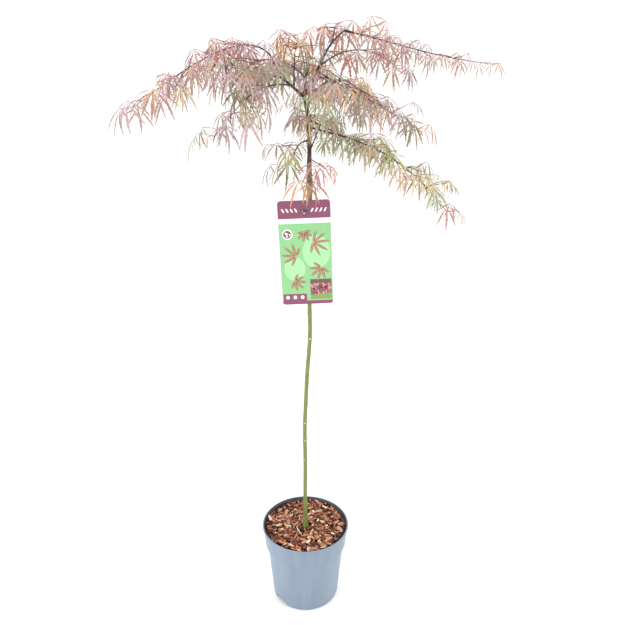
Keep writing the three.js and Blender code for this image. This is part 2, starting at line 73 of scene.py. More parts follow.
# The habit that the solids grow by, and a finer one that fills in between with smaller growth.
COARSE = {
    "seed": 0, "spacing": 31, "offset": 0.35, "spread": (52, 86), "twig_every": 3,
    "twig_length": (42, 66), "twig_rise": (-36, 4), "stalk_length": (20, 32),
    "stalk_rise": (-10, 24), "leaf_length": (48, 64), "leaf_pitch": (-74, -36),
    "limb_gap": 1.6, "mass_gap": 7, "leaf_gap": 4,
}
FINE = {
    "seed": 100, "spacing": 24, "offset": 0.84, "spread": (34, 112), "twig_every": 2,
    "twig_length": (26, 48), "twig_rise": (-30, 20), "stalk_length": (12, 24),
    "stalk_rise": (-16, 30), "leaf_length": (34, 50), "leaf_pitch": (-72, -24),
    "limb_gap": 1.0, "mass_gap": 3.4, "leaf_gap": 1.8,
}
TWIG_LEAF_TURN = {"middle": 70, "end": 38}
LEAF_SWING = 28
LEAF_OPEN = (0.7, 1.15)
LEAF_TRIES = 12
LOBE_ANGLES = (-76, -38, 0, 38, 76)
LOBE_SHARES = (0.6, 0.9, 1, 0.9, 0.6)
LOBE_DROOP = 26
SAMPLE_STEP = 9
LAST_LEAF_PLACE = 0.99
SMALL_SHARE = 1e-3
LENGTH_STEPS = 200

# Main boughs: name, tip (azimuth, reach from the fork, height), elevation at each end, radii.
MAINS = (
    ("left_main", 178, 43, 1097, 40, 38, 2.8, 1.9),
    ("right_main", 6, 69, 1168, 54, 36, 2.8, 1.8),
    ("back_main", 84, 52, 1104, 44, 30, 2.7, 1.9),
)

# Arches: name, parent, place along it (a share of a bough, a height on the trunk), azimuth, reach
# from the fork's axis and height of the tip, elevation at each end, bare share, radius, fade (how
# much smaller and sparser its growth gets towards the tip), leaf tint.
ARCHES = (
    ("top_right", "right_main", 0.8, 46, 88, 1184, 52, -4, 0.16, 1.5, 0, "salmon"),
    ("top_left", "back_main", 0.8, 105, 92, 1171, 68, 10, 0.2, 1.5, 0, "orange"),
    ("left_far", "left_main", 1, 183, 298, 1042, 78, -35, 0.2, 1.8, 0, "rose"),
    ("left_upper", "left_main", 0.92, 157, 212, 1116, 8, -6, 0.16, 1.7, 0.1, "rose"),
    ("left_low", "left_main", 0.55, 213, 172, 998, 4, -46, 0.24, 1.6, 0.1, "bronze"),
    ("right_far", "right_main", 1, 3, 330, 1116, -12, -6, 0.08, 1.8, 0.5, "salmon"),
    ("right_upper", "right_main", 0.42, 30, 205, 1114, 34, -28, 0.16, 1.7, 0.1, "salmon"),
    ("right_mid", "right_main", 0.35, 342, 196, 1006, -30, -38, 0.2, 1.6, 0.1, "bronze"),
    ("back_left", "back_main", 0.7, 122, 236, 1078, 38, -36, 0.18, 1.7, 0.1, "bronze"),
    ("back", "back_main", 1, 90, 262, 1056, 34, -40, 0.14, 1.8, 0.1, "rose"),
    ("back_right", "back_main", 0.5, 62, 214, 1034, 22, -42, 0.22, 1.7, 0.1, "olive"),
    ("front_left", "left_main", 0.8, 238, 186, 1080, 40, -30, 0.2, 1.7, 0.25, "bronze"),
    ("front_right", "trunk", 1044, 302, 206, 1040, 48, -38, 0.2, 1.7, 0.25, "bronze"),
    ("top_front", "left_main", 0.4, 266, 118, 1134, 66, -8, 0.2, 1.5, 0.42, "olive"),
    ("right_long", "trunk", 1012, 350, 258, 868, -12, -50, 0.2, 1.9, 0.25, "olive"),
    ("right_low", "trunk", 1026, 26, 150, 990, -22, 4, 0.24, 1.6, 0, "olive"),
    ("back_low", "trunk", 1030, 78, 168, 980, 6, -46, 0.22, 1.6, 0.1, "olive"),
    ("inner_right", "trunk", 972, 322, 52, 1066, 56, 70, 0.46, 1.5, 0, "olive"),
    ("low_left", "trunk", 990, 205, 32, 946, 0, -60, 0.3, 1.4, 0, "olive"),
    ("low_front", "trunk", 972, 275, 36, 918, 0, -56, 0.3, 1.4, 0, "salmon"),
)

# Autumn tints: for each kind of spray, the colours of its leaves and how often each comes.
TINTS = {
    "rose": {"mauve": 6, "rose": 5, "coral": 2, "apricot": 2, "maroon": 1, "straw": 2, "tan": 1},
    "salmon": {"salmon": 4, "mauve": 6, "rose": 3, "coral": 1, "apricot": 2, "tan": 2, "straw": 1},
    "orange": {"orange": 6, "apricot": 3, "tan": 2, "mauve": 1},
    "bronze": {"bronze": 5, "tan": 4, "mauve": 4, "olive": 3, "salmon": 2, "sage": 2, "apricot": 1},
    "olive": {"olive": 4, "sage": 5, "tan": 4, "bronze": 4, "lime": 1, "salmon": 1, "straw": 1},
}
LEAF_COLOURS = {
    "mauve": "b0989a", "rose": "b58584", "coral": "bb7767", "salmon": "b7897a", "apricot": "be9269",
    "orange": "bb6731", "maroon": "714f4d", "bronze": "918075", "tan": "ab9b7f", "straw": "c3b086",
    "olive": "7d805e", "sage": "9ca07f", "lime": "9eaa68",
}

LABEL = {"width": 97, "height": 198, "thickness": 0.8, "corner": 6, "top": 886, "y": -7.4, "tilt": 2.4}
LABEL_CLEARANCE = 5
LABEL_NET = {"across": 12, "down": 23}
LABEL_HOLE = {"radius": 3.6, "drop": 21}
TIE_RADIUS = 0.8


# ---- Curves and chance ----
def mix(low, high, share):
    return (1 - share) * low + share * high


def unit(vector):
    return vector / np.linalg.norm(vector)


def bulge(place, middle, length):
    """A smooth swelling: 1 at its middle, and next to nothing at twice its length."""
    return math.exp(-(((place - middle) / length) ** 2))


def heading(azimuth):
    turn = math.radians(azimuth)
    return np.array([math.cos(turn), math.sin(turn), 0.0])


def polar(azimuth, reach, height):
    return np.array([FORK[0], FORK[1], height]) + reach * heading(azimuth)


def leaning(flat, elevation):
    rise = math.radians(elevation)
    return flat * math.cos(rise) + UP * math.sin(rise)


def turned(along, turn):
    """The level direction of `along`, turned about the upright axis."""
    x, y = unit(np.array([along[0], along[1]]))
    c, s = math.cos(math.radians(turn)), math.sin(math.radians(turn))
    return np.array([x * c - y * s, x * s + y * c, 0.0])


class Chance:
    """A repeatable stream of numbers: a 32-bit linear congruential rule."""

    def __init__(self, seed):
        self.state = seed

    def draw(self):
        self.state = (self.state * 1664525 + 1013904223) % 2**32
        return self.state / 2**32

    def between(self, low, high):
        return mix(low, high, self.draw())

    def pick(self, options):
        return options[int(self.draw() * len(options))]


def deck(shares):
    """The number of each kind, as many times as its share, to pick from."""
    return [number for number, share in enumerate(shares.values()) for _ in range(share)]


class Line:
    """A curve with a point and a direction at each share of its length."""

    def tangent(self, share):
        return unit(self.point(min(share + 1e-4, 1)) - self.point(max(share - 1e-4, 0)))

    def length(self):
        points = np.array([self.point(step / LENGTH_STEPS) for step in range(LENGTH_STEPS + 1)])
        return np.linalg.norm(np.diff(points, axis=0), axis=1).sum()


class Arch(Line):
    """Leaves its start at one elevation and comes in to its tip at another."""

    def __init__(self, start, tip, leave, arrive):
        flat = unit(np.array([tip[0] - start[0], tip[1] - start[1], 0.0]))
        handle = HANDLE * np.linalg.norm(tip - start)
        self.knots = (
            start,
            start + handle * leaning(flat, leave),
            tip - handle * leaning(flat, arrive),
            tip,
        )

    def point(self, share):
        rest = 1 - share
        weights = (rest**3, 3 * rest * rest * share, 3 * rest * share * share, share**3)
        return sum(weight * knot for weight, knot in zip(weights, self.knots))


class TrunkLine(Line):
    """Rises straight, leans to one side on its way up, and bends back below the fork."""

    def point(self, share):
        z = mix(TRUNK_FOOT, FORK[2], share)
        climb = (z - TRUNK_LEAN["low"]) / (TRUNK_LEAN["high"] - TRUNK_LEAN["low"])
        climb = min(max(climb, 0), 1)
        lean = TRUNK_LEAN["offset"] * climb * climb * (3 - 2 * climb)
        above = max(0, (z - TRUNK_BEND["low"]) / (FORK[2] - TRUNK_BEND["low"]))
        return np.array([lean - (TRUNK_LEAN["offset"] - FORK[0]) * above ** TRUNK_BEND["power"], 0.0, z])


def trunk_share(height):
    return (height - TRUNK_FOOT) / (FORK[2] - TRUNK_FOOT)


# ---- The growing rule ----
class Limb:
    """A stretch of a curve that tapers from one radius to another."""

    def __init__(self, line, start, end, thick, thin):
        self.line, self.start, self.end, self.thick, self.thin = line, start, end, thick, thin

    def radius(self, share):
        return mix(self.thick, self.thin, share)

    def samples(self):
        count = math.ceil(3 * self.line.length() * (self.end - self.start) / SAMPLE_STEP)
        return np.array([self.line.point(mix(self.start, self.end, i / count)) for i in range(count + 1)])


class Trunk(Limb):
    """Flares at its foot, swells at its graft, and thins towards its fork."""

    def radius(self, share):
        z = mix(TRUNK_FOOT, FORK[2], share)
        spread = ROOT_FLARE["extra"] * math.exp(-(z - TRUNK_FOOT) / ROOT_FLARE["height"])
        swelling = GRAFT["extra"] * bulge(z, GRAFT["height"], GRAFT["length"])
        return mix(self.thick, self.thin, share**3) + spread + swelling


def samples_along(start, end):
    count = math.ceil(np.linalg.norm(end - start) / SAMPLE_STEP)
    shares = (np.arange(count) + 1) / count
    return start + shares[:, None] * (end - start)


def label_samples():
    """A net of points over the label, which the leaves keep clear of."""
    across = np.linspace(-LABEL["width"] / 2, LABEL["width"] / 2, LABEL_NET["across"])
    drops = np.linspace(0, LABEL["height"], LABEL_NET["down"])
    return np.array([(x, LABEL["y"], LABEL["top"] - drop) for x in across for drop in drops])


def clear_of(points, samples, distance):
    """True if each sample is further than the distance, or than its own distance, from every point."""
    reach = np.max(distance)
    low, high = points.min(0) - reach, points.max(0) + reach
    near = ((samples > low) & (samples < high)).all(1)
    gaps = np.linalg.norm(points[:, None] - samples[near], axis=2)
    return bool((gaps > np.broadcast_to(distance, len(samples))[near]).all())


def nearest(point, samples):
    return np.linalg.norm(samples - point, axis=1).min()


def lobe_tips(leaf):
    across = np.cross(leaf["face"], leaf["ahead"])
    droop = math.radians(LOBE_DROOP)
    tips = []
    for angle, share in zip(LOBE_ANGLES, LOBE_SHARES):
        turn, reach = math.radians(angle * leaf["open"]), share * leaf["length"]
        level = math.cos(turn) * leaf["ahead"] + math.sin(turn) * across
        tips.append(leaf["hub"] + reach * (math.cos(droop) * level - math.sin(droop) * leaf["face"]))
    return tips


class Space:
    """The room of one mass: all that lies nearer to its own stem than to any other stem."""

    def __init__(self, own, others, limbs, girths, grown, habit):
        self.own, self.others, self.limbs, self.girths = own, others, limbs, girths
        self.grown, self.habit = grown, habit
        self.mine = np.empty((0, 3))

    def inside(self, point):
        return nearest(point, self.others) > nearest(point, self.own)

    def is_free(self, points):
        habit = self.habit
        return (
            clear_of(points, self.limbs, self.girths + habit["limb_gap"])
            and clear_of(points, self.others, habit["mass_gap"])
            and clear_of(points, self.grown, habit["mass_gap"])
            and clear_of(points, self.mine, habit["leaf_gap"])
        )

    def take_leaf(self, leaf):
        if not self.inside(leaf["hub"]):
            return False
        stalk = samples_along(leaf["root"], leaf["hub"])
        blade = np.vstack([samples_along(leaf["hub"], tip) for tip in lobe_tips(leaf)])
        both = np.vstack([stalk, blade])
        fits = self.is_free(both) and clear_of(blade, self.own, self.habit["leaf_gap"])
        if fits:
            self.mine = np.vstack([self.mine, both])
        return fits

    def take_twig(self, root, end):
        samples = samples_along(root, end)
        fits = self.inside(end) and self.is_free(samples)
        if fits:
            self.mine = np.vstack([self.mine, samples[:-1]])
        return fits


def grow_mass(seed, stem, fade, space, habit):
    """Nodes stand along the stem, each with one leaf on either side. At some of the nodes a side twig
    takes the place of a leaf, and carries leaves of its own. A fading stem grows sparser and smaller
    towards its tip."""
    chance = Chance(seed + habit["seed"])
    leaves, twigs = [], []

    def grow_leaf(root, along, turn, size, spray):
        for _ in range(LEAF_TRIES):
            flat = turned(along, turn + chance.between(-LEAF_SWING, LEAF_SWING))
            rise = chance.between(*habit["stalk_rise"])
            hub = root + leaning(flat, rise) * (size * chance.between(*habit["stalk_length"]))
            pitch = chance.between(*habit["leaf_pitch"])
            length = size * chance.between(*habit["leaf_length"])
            leaf = {
                "root": root, "hub": hub, "length": length, "spray": spray,
                "open": chance.between(*LEAF_OPEN),
                "ahead": leaning(flat, pitch), "face": leaning(flat, pitch + 90),
            }
            if space.take_leaf(leaf):
                leaves.append(leaf)
                return

    def grow_twig(root, along, turn, size, spray):
        way = leaning(turned(along, turn), chance.between(*habit["twig_rise"]))
        end = root + way * (size * chance.between(*habit["twig_length"]))
        if not space.take_twig(root, end):
            grow_leaf(root, along, turn, size, spray)
            return
        twigs.append((root, end))
        grow_leaf(mix(root, end, 0.5), way, math.copysign(TWIG_LEAF_TURN["middle"], turn), size, spray)
        grow_leaf(end, way, TWIG_LEAF_TURN["end"], size, spray)
        grow_leaf(end, way, -TWIG_LEAF_TURN["end"], size, spray)

    reach = stem.line.length() * (stem.end - stem.start)
    nodes = max(2, math.floor(reach / habit["spacing"] + 0.5))
    for node in range(1, nodes + 1):
        way = (node - habit["offset"]) / nodes
        share = mix(stem.start, stem.end, way ** (1 + fade))
        root, along = stem.line.point(share), stem.line.tangent(share)
        spread = chance.between(*habit["spread"])
        for side in (1, -1):
            is_twig = (2 * node + side + 1) % habit["twig_every"] == 0 and node < nodes
            grow = grow_twig if is_twig else grow_leaf
            grow(root, along, side * spread, 1 - fade * way, (habit["seed"], node, side))
    last = stem.line.point(LAST_LEAF_PLACE)
    grow_leaf(last, stem.line.tangent(stem.end), 0, 1 - fade, (habit["seed"], nodes, 0))
    return leaves, twigs


def grow_plant():
    """The trunk and main boughs by name, and the masses, each with its bough, stem, leaves and twigs."""
    limbs = {"trunk": Trunk(TrunkLine(), 0, 1, TRUNK_RADIUS, FORK_RADIUS)}
    for name, azimuth, reach, height, leave, arrive, thick, thin in MAINS:
        line = Arch(FORK, polar(azimuth, reach, height), leave, arrive)
        limbs[name] = Limb(line, 0, 1, thick, thin)
    masses = []
    for number, row in enumerate(ARCHES, 1):
        name, parent, place, azimuth, reach, height, leave, arrive, bare, radius, fade, tint = row
        start = limbs[parent].line.point(trunk_share(place) if parent == "trunk" else place)
        line = Arch(start, polar(azimuth, reach, height), leave, arrive)
        speed = np.linalg.norm(line.point(bare + SMALL_SHARE) - line.point(bare)) / SMALL_SHARE
        masses.append({
            "name": name, "tint": tint, "fade": fade, "seed": number, "leaves": [], "twigs": [],
            "bough": Limb(line, 0, bare, radius, radius * TIP_SHARE),
            "stem": Limb(line, bare + JOIN_GAP / speed, 1, radius, radius * TIP_SHARE),
        })
    bare_limbs = [*limbs.values(), *(mass["bough"] for mass in masses)]
    samples = [*(limb.samples() for limb in bare_limbs), label_samples()]
    girths = [*(limb.radius(limb.start) for limb in bare_limbs), LABEL_CLEARANCE]
    girths = np.repeat(girths, [len(points) for points in samples])
    samples = np.vstack(samples)
    stems = [mass["stem"].samples() for mass in masses]
    grown = np.empty((0, 3))
    for habit in (COARSE, FINE):
        for index, mass in enumerate(masses):
            others = np.vstack(stems[:index] + stems[index + 1:])
            space = Space(stems[index], others, samples, girths, grown, habit)
            leaves, twigs = grow_mass(mass["seed"], mass["stem"], mass["fade"], space, habit)
            grown = np.vstack([grown, space.mine])
            mass["leaves"] += leaves
            mass["twigs"] += twigs
    return limbs, masses


# ---- Helpers ----
def linear(colour, alpha=1.0):
    """An sRGB hex colour as Blender's linear red, green, blue and alpha."""
    channels = [int(colour[at:at + 2], 16) / 255 for at in (0, 2, 4)]
    return (*(c / 12.92 if c <= 0.04045 else ((c + 0.055) / 1.055) ** 2.4 for c in channels), alpha)


def add(tree, kind, settings=None, stops=None, **inputs):
    """Adds a node. Settings are its own properties, stops the colours of its ramp, and each input
    is a value or the socket that it is linked from, named by the input's name with _ for a space."""
    node = tree.nodes.new("ShaderNode" + kind)
    for name, value in (settings or {}).items():
        setattr(node, name, value)
    if stops:
        elements = node.color_ramp.elements
        while len(elements) < len(stops):
            elements.new(0.5)
        for element, (place, colour) in zip(elements, stops):
            element.position, element.color = place, linear(colour)
    for name, value in inputs.items():
        socket = node.inputs[int(name[1:]) if name[1:].isdigit() else name.replace("_", " ")]
        if isinstance(value, bpy.types.NodeSocket):
            tree.links.new(value, socket)
        else:
            socket.default_value = value
    return node


def new_material(name, **shader_inputs):
    """A material with one Principled shader, and its node tree, shader and Object coordinates."""
    material = bpy.data.materials.new(name)
    material.use_nodes = True
    tree = material.node_tree
    shader = tree.nodes["Principled BSDF"]
    for socket, value in shader_inputs.items():
        shader.inputs[socket.replace("_", " ")].default_value = value
    place = add(tree, "TexCoord").outputs["Object"]
    return material, tree, shader, place


def wire(shader, **sockets):
    """Links sockets to the shader's inputs, each named by its input's name with _ for a space."""
    for name, socket in sockets.items():
        shader.id_data.links.new(socket, shader.inputs[name.replace("_", " ")])


def per(size):
    """The scale of a pattern whose grain is so many millimetres wide."""
    return 1 / (size * MM)


def deselect():
    if bpy.context.object and bpy.context.object.mode != "OBJECT":
        bpy.ops.object.mode_set(mode="OBJECT")
    bpy.ops.object.select_all(action="DESELECT")


def select_only(obj):
    deselect()
    obj.select_set(True)
    bpy.context.view_layer.objects.active = obj


def settle(obj, name):
    """Names a finished piece, and puts its place, turn and scale into its mesh."""
    select_only(obj)
    bpy.ops.object.transform_apply(location=True, rotation=True, scale=True)
    obj.name = name
    obj.data.name = name
    return obj


def apply_modifier(obj, kind, **settings):
    modifier = obj.modifiers.new(kind.title(), kind)
    for name, value in settings.items():
        setattr(modifier, name, value)
    select_only(obj)
    bpy.ops.object.modifier_apply(modifier=modifier.name)


def cut_away(obj, tool):
    """Cuts the shape of a tool out of a piece, and removes the tool."""
    apply_modifier(obj, "BOOLEAN", object=tool, operation="DIFFERENCE", solver="EXACT")
    bpy.data.objects.remove(tool)


def shade_smooth(obj):
    obj.data.polygons.foreach_set("use_smooth", [True] * len(obj.data.polygons))


def join(objects, name):
    deselect()
    for obj in objects:
        obj.select_set(True)
    bpy.context.view_layer.objects.active = objects[0]
    bpy.ops.object.join()
    return settle(objects[0], name)


def dress(obj, slot, *nodes):
    """The piece rides on the plant's one body, and the CAD nodes that it takes the place of are hidden;
    slot is not used.
    """
    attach(obj, "root")
    if nodes:
        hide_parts(*nodes)


class Heap:
    """Points and faces of many small things, gathered to be one mesh."""

    def __init__(self):
        self.points, self.faces, self.kinds, self.count = [], [], [], 0

    def add(self, points, faces, kind=0):
        self.faces += [tuple(corner + self.count for corner in face) for face in faces]
        self.kinds += [kind] * len(faces)
        self.points.append(points)
        self.count += len(points)

    def piece(self, name, materials, smooth=True):
        mesh = bpy.data.meshes.new(name)
        mesh.from_pydata(np.vstack(self.points) * MM, [], self.faces)
        for material in materials:
            mesh.materials.append(material)
        mesh.polygons.foreach_set("material_index", self.kinds)
        mesh.polygons.foreach_set("use_smooth", [smooth] * len(self.faces))
        obj = bpy.data.objects.new(name, mesh)
        bpy.context.scene.collection.objects.link(obj)
        return obj


def skin_faces(rings, sides):
    """Faces of a skin over rings of points: bands of four-sided faces, with a cap at either end."""
    faces = [tuple(range(sides - 1, -1, -1))]
    last = (rings - 1) * sides
    for low in range(0, last, sides):
        faces += [
            (low + i, low + (i + 1) % sides, low + sides + (i + 1) % sides, low + sides + i)
            for i in range(sides)
        ]
    return faces + [tuple(range(last, last + sides))]


def tube(points, radii, sides):
    """Points and faces of a round skin along a line of points, closed at both ends."""
    ways = np.gradient(points, axis=0)
    ways /= np.linalg.norm(ways, axis=1)[:, None]
    angles = 2 * math.pi * np.arange(sides) / sides
    side = np.cross(ways[0], UP if abs(ways[0][2]) < 0.9 else heading(0))
    rings = []
    for point, way, radius in zip(points, ways, radii):
        side = unit(side - (side @ way) * way)
        across = np.cross(way, side)
        rings.append(point + radius * (np.cos(angles)[:, None] * side + np.sin(angles)[:, None] * across))
    return np.vstack(rings), skin_faces(len(points), sides)


# ---- Finishes ----
# Injection-moulded polypropylene: an even colour with a satin skin, drawn a little along the wall.
def moulded_polypropylene(name, low, high, roughness):
    material, tree, shader, place = new_material(name, IOR=1.49)
    grain = add(tree, "TexNoise", Vector=place, Scale=per(0.9), Detail=3.0).outputs["Fac"]
    drawn = add(tree, "Mapping", Vector=place, Scale=(1.0, 1.0, 0.12)).outputs[0]
    flow = add(tree, "TexNoise", Vector=drawn, Scale=per(22), Detail=4.0).outputs["Fac"]
    tone = add(tree, "ValToRGB", Fac=flow, stops=((0.3, low), (0.7, high)))
    satin = add(tree, "MapRange", Value=grain, To_Min=roughness - 0.05, To_Max=roughness + 0.07)
    skin = add(tree, "Bump", Height=grain, Strength=0.12, Distance=0.1 * MM)
    wire(shader, Base_Color=tone.outputs[0], Roughness=satin.outputs[0], Normal=skin.outputs[0])
    return material


# Composted pine bark: torn flakes, matt, each of one colour, with a fibrous face. The healed wood of
# the stem's scars is finished the same way.
def pine_bark(name, colour):
    material, tree, shader, place = new_material(name, Base_Color=linear(colour), Specular_IOR_Level=0.25)
    drawn = add(tree, "Mapping", Vector=place, Scale=(1.0, 3.2, 1.4)).outputs[0]
    fibre = add(tree, "TexNoise", Vector=drawn, Scale=per(1.6), Detail=5.0, Roughness=0.65).outputs["Fac"]
    dull = add(tree, "MapRange", Value=fibre, To_Min=0.78, To_Max=0.98)
    torn = add(tree, "Bump", Height=fibre, Strength=0.8, Distance=0.5 * MM)
    wire(shader, Roughness=dull.outputs[0], Normal=torn.outputs[0])
    return material


# Damp peat between the flakes: nearly black crumbs.
def peat(name):
    material, tree, shader, place = new_material(name, Specular_IOR_Level=0.2, Roughness=0.95)
    crumbs = add(tree, "TexVoronoi", Vector=place, Scale=per(2.4)).outputs["Distance"]
    tone = add(tree, "ValToRGB", Fac=crumbs, stops=((0.1, "4a3024"), (0.6, "24160f")))
    rough = add(tree, "Bump", Height=crumbs, Strength=1.0, Distance=1.0 * MM)
    wire(shader, Base_Color=tone.outputs[0], Normal=rough.outputs[0])
    return material


# Young green bark of a clear stem: smooth and waxy, with fine upright streaks. Above the graft, where
# the older wood starts, it is brown with green patches. The heights of that change are in metres.
def green_bark(name):
    material, tree, shader, place = new_material(name, Specular_IOR_Level=0.4)
    upright = add(tree, "Mapping", Vector=place, Scale=(1.0, 1.0, 0.07)).outputs[0]
    streaks = add(tree, "TexNoise", Vector=upright, Scale=per(1.3), Detail=4.0).outputs["Fac"]
    patches = add(tree, "TexNoise", Vector=place, Scale=per(26), Detail=3.0).outputs["Fac"]
    young = add(tree, "ValToRGB", Fac=streaks, stops=((0.28, "647139"), (0.55, "767f44"), (0.8, "8c9056")))
    old = add(
        tree, "ValToRGB", Fac=patches,
        stops=((0.36, "30281f"), (0.48, "564232"), (0.56, "8e6e54"), (0.63, "6f7c3c")),
    )
    height = add(tree, "SeparateXYZ", Vector=place).outputs["Z"]
    waver = add(tree, "Math", {"operation": "MULTIPLY_ADD"}, _0=patches, _1=0.05, _2=height)
    above = add(tree, "MapRange", Value=waver.outputs[0], From_Min=0.918, From_Max=0.952)
    tone = add(
        tree, "Mix", {"data_type": "RGBA"},
        Factor=above.outputs[0], _6=young.outputs[0], _7=old.outputs[0],
    )
    wax = add(tree, "MapRange", Value=streaks, To_Min=0.42, To_Max=0.62)
    relief = add(tree, "Bump", Height=streaks, Strength=0.5, Distance=0.25 * MM)
    wire(shader, Base_Color=tone.outputs[2], Roughness=wax.outputs[0], Normal=relief.outputs[0])
    return material


# Dark bark of the crown's limbs: purple brown, satin, flecked with paler breathing pores.
def dark_bark(name, low, high):
    material, tree, shader, place = new_material(name, Specular_IOR_Level=0.35)
    flecks = add(tree, "TexVoronoi", Vector=place, Scale=per(2.2)).outputs["Distance"]
    mottle = add(tree, "TexNoise", Vector=place, Scale=per(5), Detail=5.0).outputs["Fac"]
    bark = add(tree, "ValToRGB", Fac=mottle, stops=((0.3, low), (0.7, high)))
    pores = add(tree, "MapRange", Value=flecks, From_Min=0.08, From_Max=0.16, To_Min=0.5, To_Max=0.0)
    tone = add(
        tree, "Mix", {"data_type": "RGBA"},
        Factor=pores.outputs[0], _6=bark.outputs[0], _7=linear("9a8474"),
    )
    satin = add(tree, "MapRange", Value=mottle, To_Min=0.45, To_Max=0.7)
    relief = add(tree, "Bump", Height=mottle, Strength=0.6, Distance=0.3 * MM)
    wire(shader, Base_Color=tone.outputs[2], Roughness=satin.outputs[0], Normal=relief.outputs[0])
    return material


# A thin living leaf in autumn: one plain tint a spray, a soft cuticle gloss, and a net of fine veins.
def autumn_leaf(name, colour):
    material, tree, shader, place = new_material(name, Base_Color=linear(colour), Specular_IOR_Level=0.3)
    veins = add(tree, "TexVoronoi", {"feature": "DISTANCE_TO_EDGE"}, Vector=place, Scale=per(1.4))
    cuticle = add(tree, "TexNoise", Vector=place, Scale=per(4), Detail=3.0)
    gloss = add(tree, "MapRange", Value=cuticle.outputs["Fac"], To_Min=0.48, To_Max=0.68)
    net = add(tree, "Bump", Height=veins.outputs["Distance"], Strength=0.35, Distance=0.2 * MM)
    wire(shader, Roughness=gloss.outputs[0], Normal=net.outputs[0])
    return material


# Printed ink on coated card: flat colour under a thin clear film, with a faint weave of print dots.
def printed_card(name, low, high):
    material, tree, shader, place = new_material(name, Coat_Weight=0.25, Coat_Roughness=0.2)
    dots = add(tree, "TexNoise", Vector=place, Scale=per(1.2), Detail=2.0).outputs["Fac"]
    tone = add(tree, "ValToRGB", Fac=dots, stops=((0.3, low), (0.7, high)))
    film = add(tree, "MapRange", Value=dots, To_Min=0.34, To_Max=0.43)
    wire(shader, Base_Color=tone.outputs[0], Roughness=film.outputs[0])
    return material


# Soft green plastic over wire, as on a garden twist tie.
def twist_tie_plastic(name):
    material, tree, shader, place = new_material(name, Specular_IOR_Level=0.5)
    scuff = add(tree, "TexNoise", Vector=place, Scale=per(1.5), Detail=3.0).outputs["Fac"]
    tone = add(tree, "ValToRGB", Fac=scuff, stops=((0.3, "24443a"), (0.75, "3f6f5c")))
    gloss = add(tree, "MapRange", Value=scuff, To_Min=0.35, To_Max=0.55)
    wire(shader, Base_Color=tone.outputs[0], Roughness=gloss.outputs[0])
    return material


# ---- Pot ----
def ring_body(rings, sides):
    """A disc is set at the first ring, then extruded and scaled from ring to ring."""
    deselect()
    radius, height = rings[0]
    bpy.ops.mesh.primitive_circle_add(
        vertices=sides, radius=radius * MM, fill_type="NGON", location=(0, 0, height * MM),
    )
    bpy.ops.object.mode_set(mode="EDIT")
    for next_radius, next_height in rings[1:]:
        rise = (0, 0, (next_height - height) * MM)
        bpy.ops.mesh.extrude_region_move(TRANSFORM_OT_translate={"value": rise})
        grow = next_radius / radius
        bpy.ops.transform.resize(value=(grow, grow, 1), center_override=(0, 0, next_height * MM))
        radius, height = next_radius, next_height
    bpy.ops.mesh.select_all(action="SELECT")
    bpy.ops.mesh.normals_make_consistent(inside=False)
    bpy.ops.object.mode_set(mode="OBJECT")
    return bpy.context.object


def pot_rings():
    collar_foot = POT_HEIGHT - COLLAR_HEIGHT
    collar_top = POT_RIM_RADIUS - LIP_OVERHANG
    collar_low = collar_top - COLLAR_TAPER
    inner_top = collar_top - POT_WALL
    inner_foot = POT_FOOT_RADIUS - POT_WALL
    return (
        (POT_FOOT_RADIUS - FOOT_ROUNDING, 0),
        (POT_FOOT_RADIUS - 0.35 * FOOT_ROUNDING, 0.12 * FOOT_ROUNDING),
        (POT_FOOT_RADIUS, 0.4 * FOOT_ROUNDING),
        (POT_FOOT_RADIUS + 1, FOOT_ROUNDING),
        (collar_low - COLLAR_STEP - 0.1, collar_foot - 1.6),
        (collar_low - COLLAR_STEP + 0.6, collar_foot - 0.3),
        (collar_low - 0.7, collar_foot),
        (collar_low, collar_foot + 0.8),
        (collar_top - 0.2, POT_HEIGHT - LIP_HEIGHT - 0.3),
        (collar_top + 0.9, POT_HEIGHT - LIP_HEIGHT),
        (POT_RIM_RADIUS, POT_HEIGHT - LIP_HEIGHT + 0.8),
        (POT_RIM_RADIUS, POT_HEIGHT - 0.7),
        (POT_RIM_RADIUS - 0.7, POT_HEIGHT),
        (inner_top + 0.7, POT_HEIGHT),
        (inner_top, POT_HEIGHT - 0.9),
        (collar_low - COLLAR_STEP - POT_WALL, collar_foot),
        (inner_foot, POT_FLOOR + FOOT_ROUNDING),
        (inner_foot - FOOT_ROUNDING, POT_FLOOR),
    )


# The sides of the round skin, each drain slot's depth through the wall, how far one end of a slot
# slants, as a share of its width, and the angle in degrees below which two faces shade as one.
POT_SIDES = 144
NOTCH_DEPTH = 22
NOTCH_SLANT = 0.16
SMOOTH_BELOW = 32


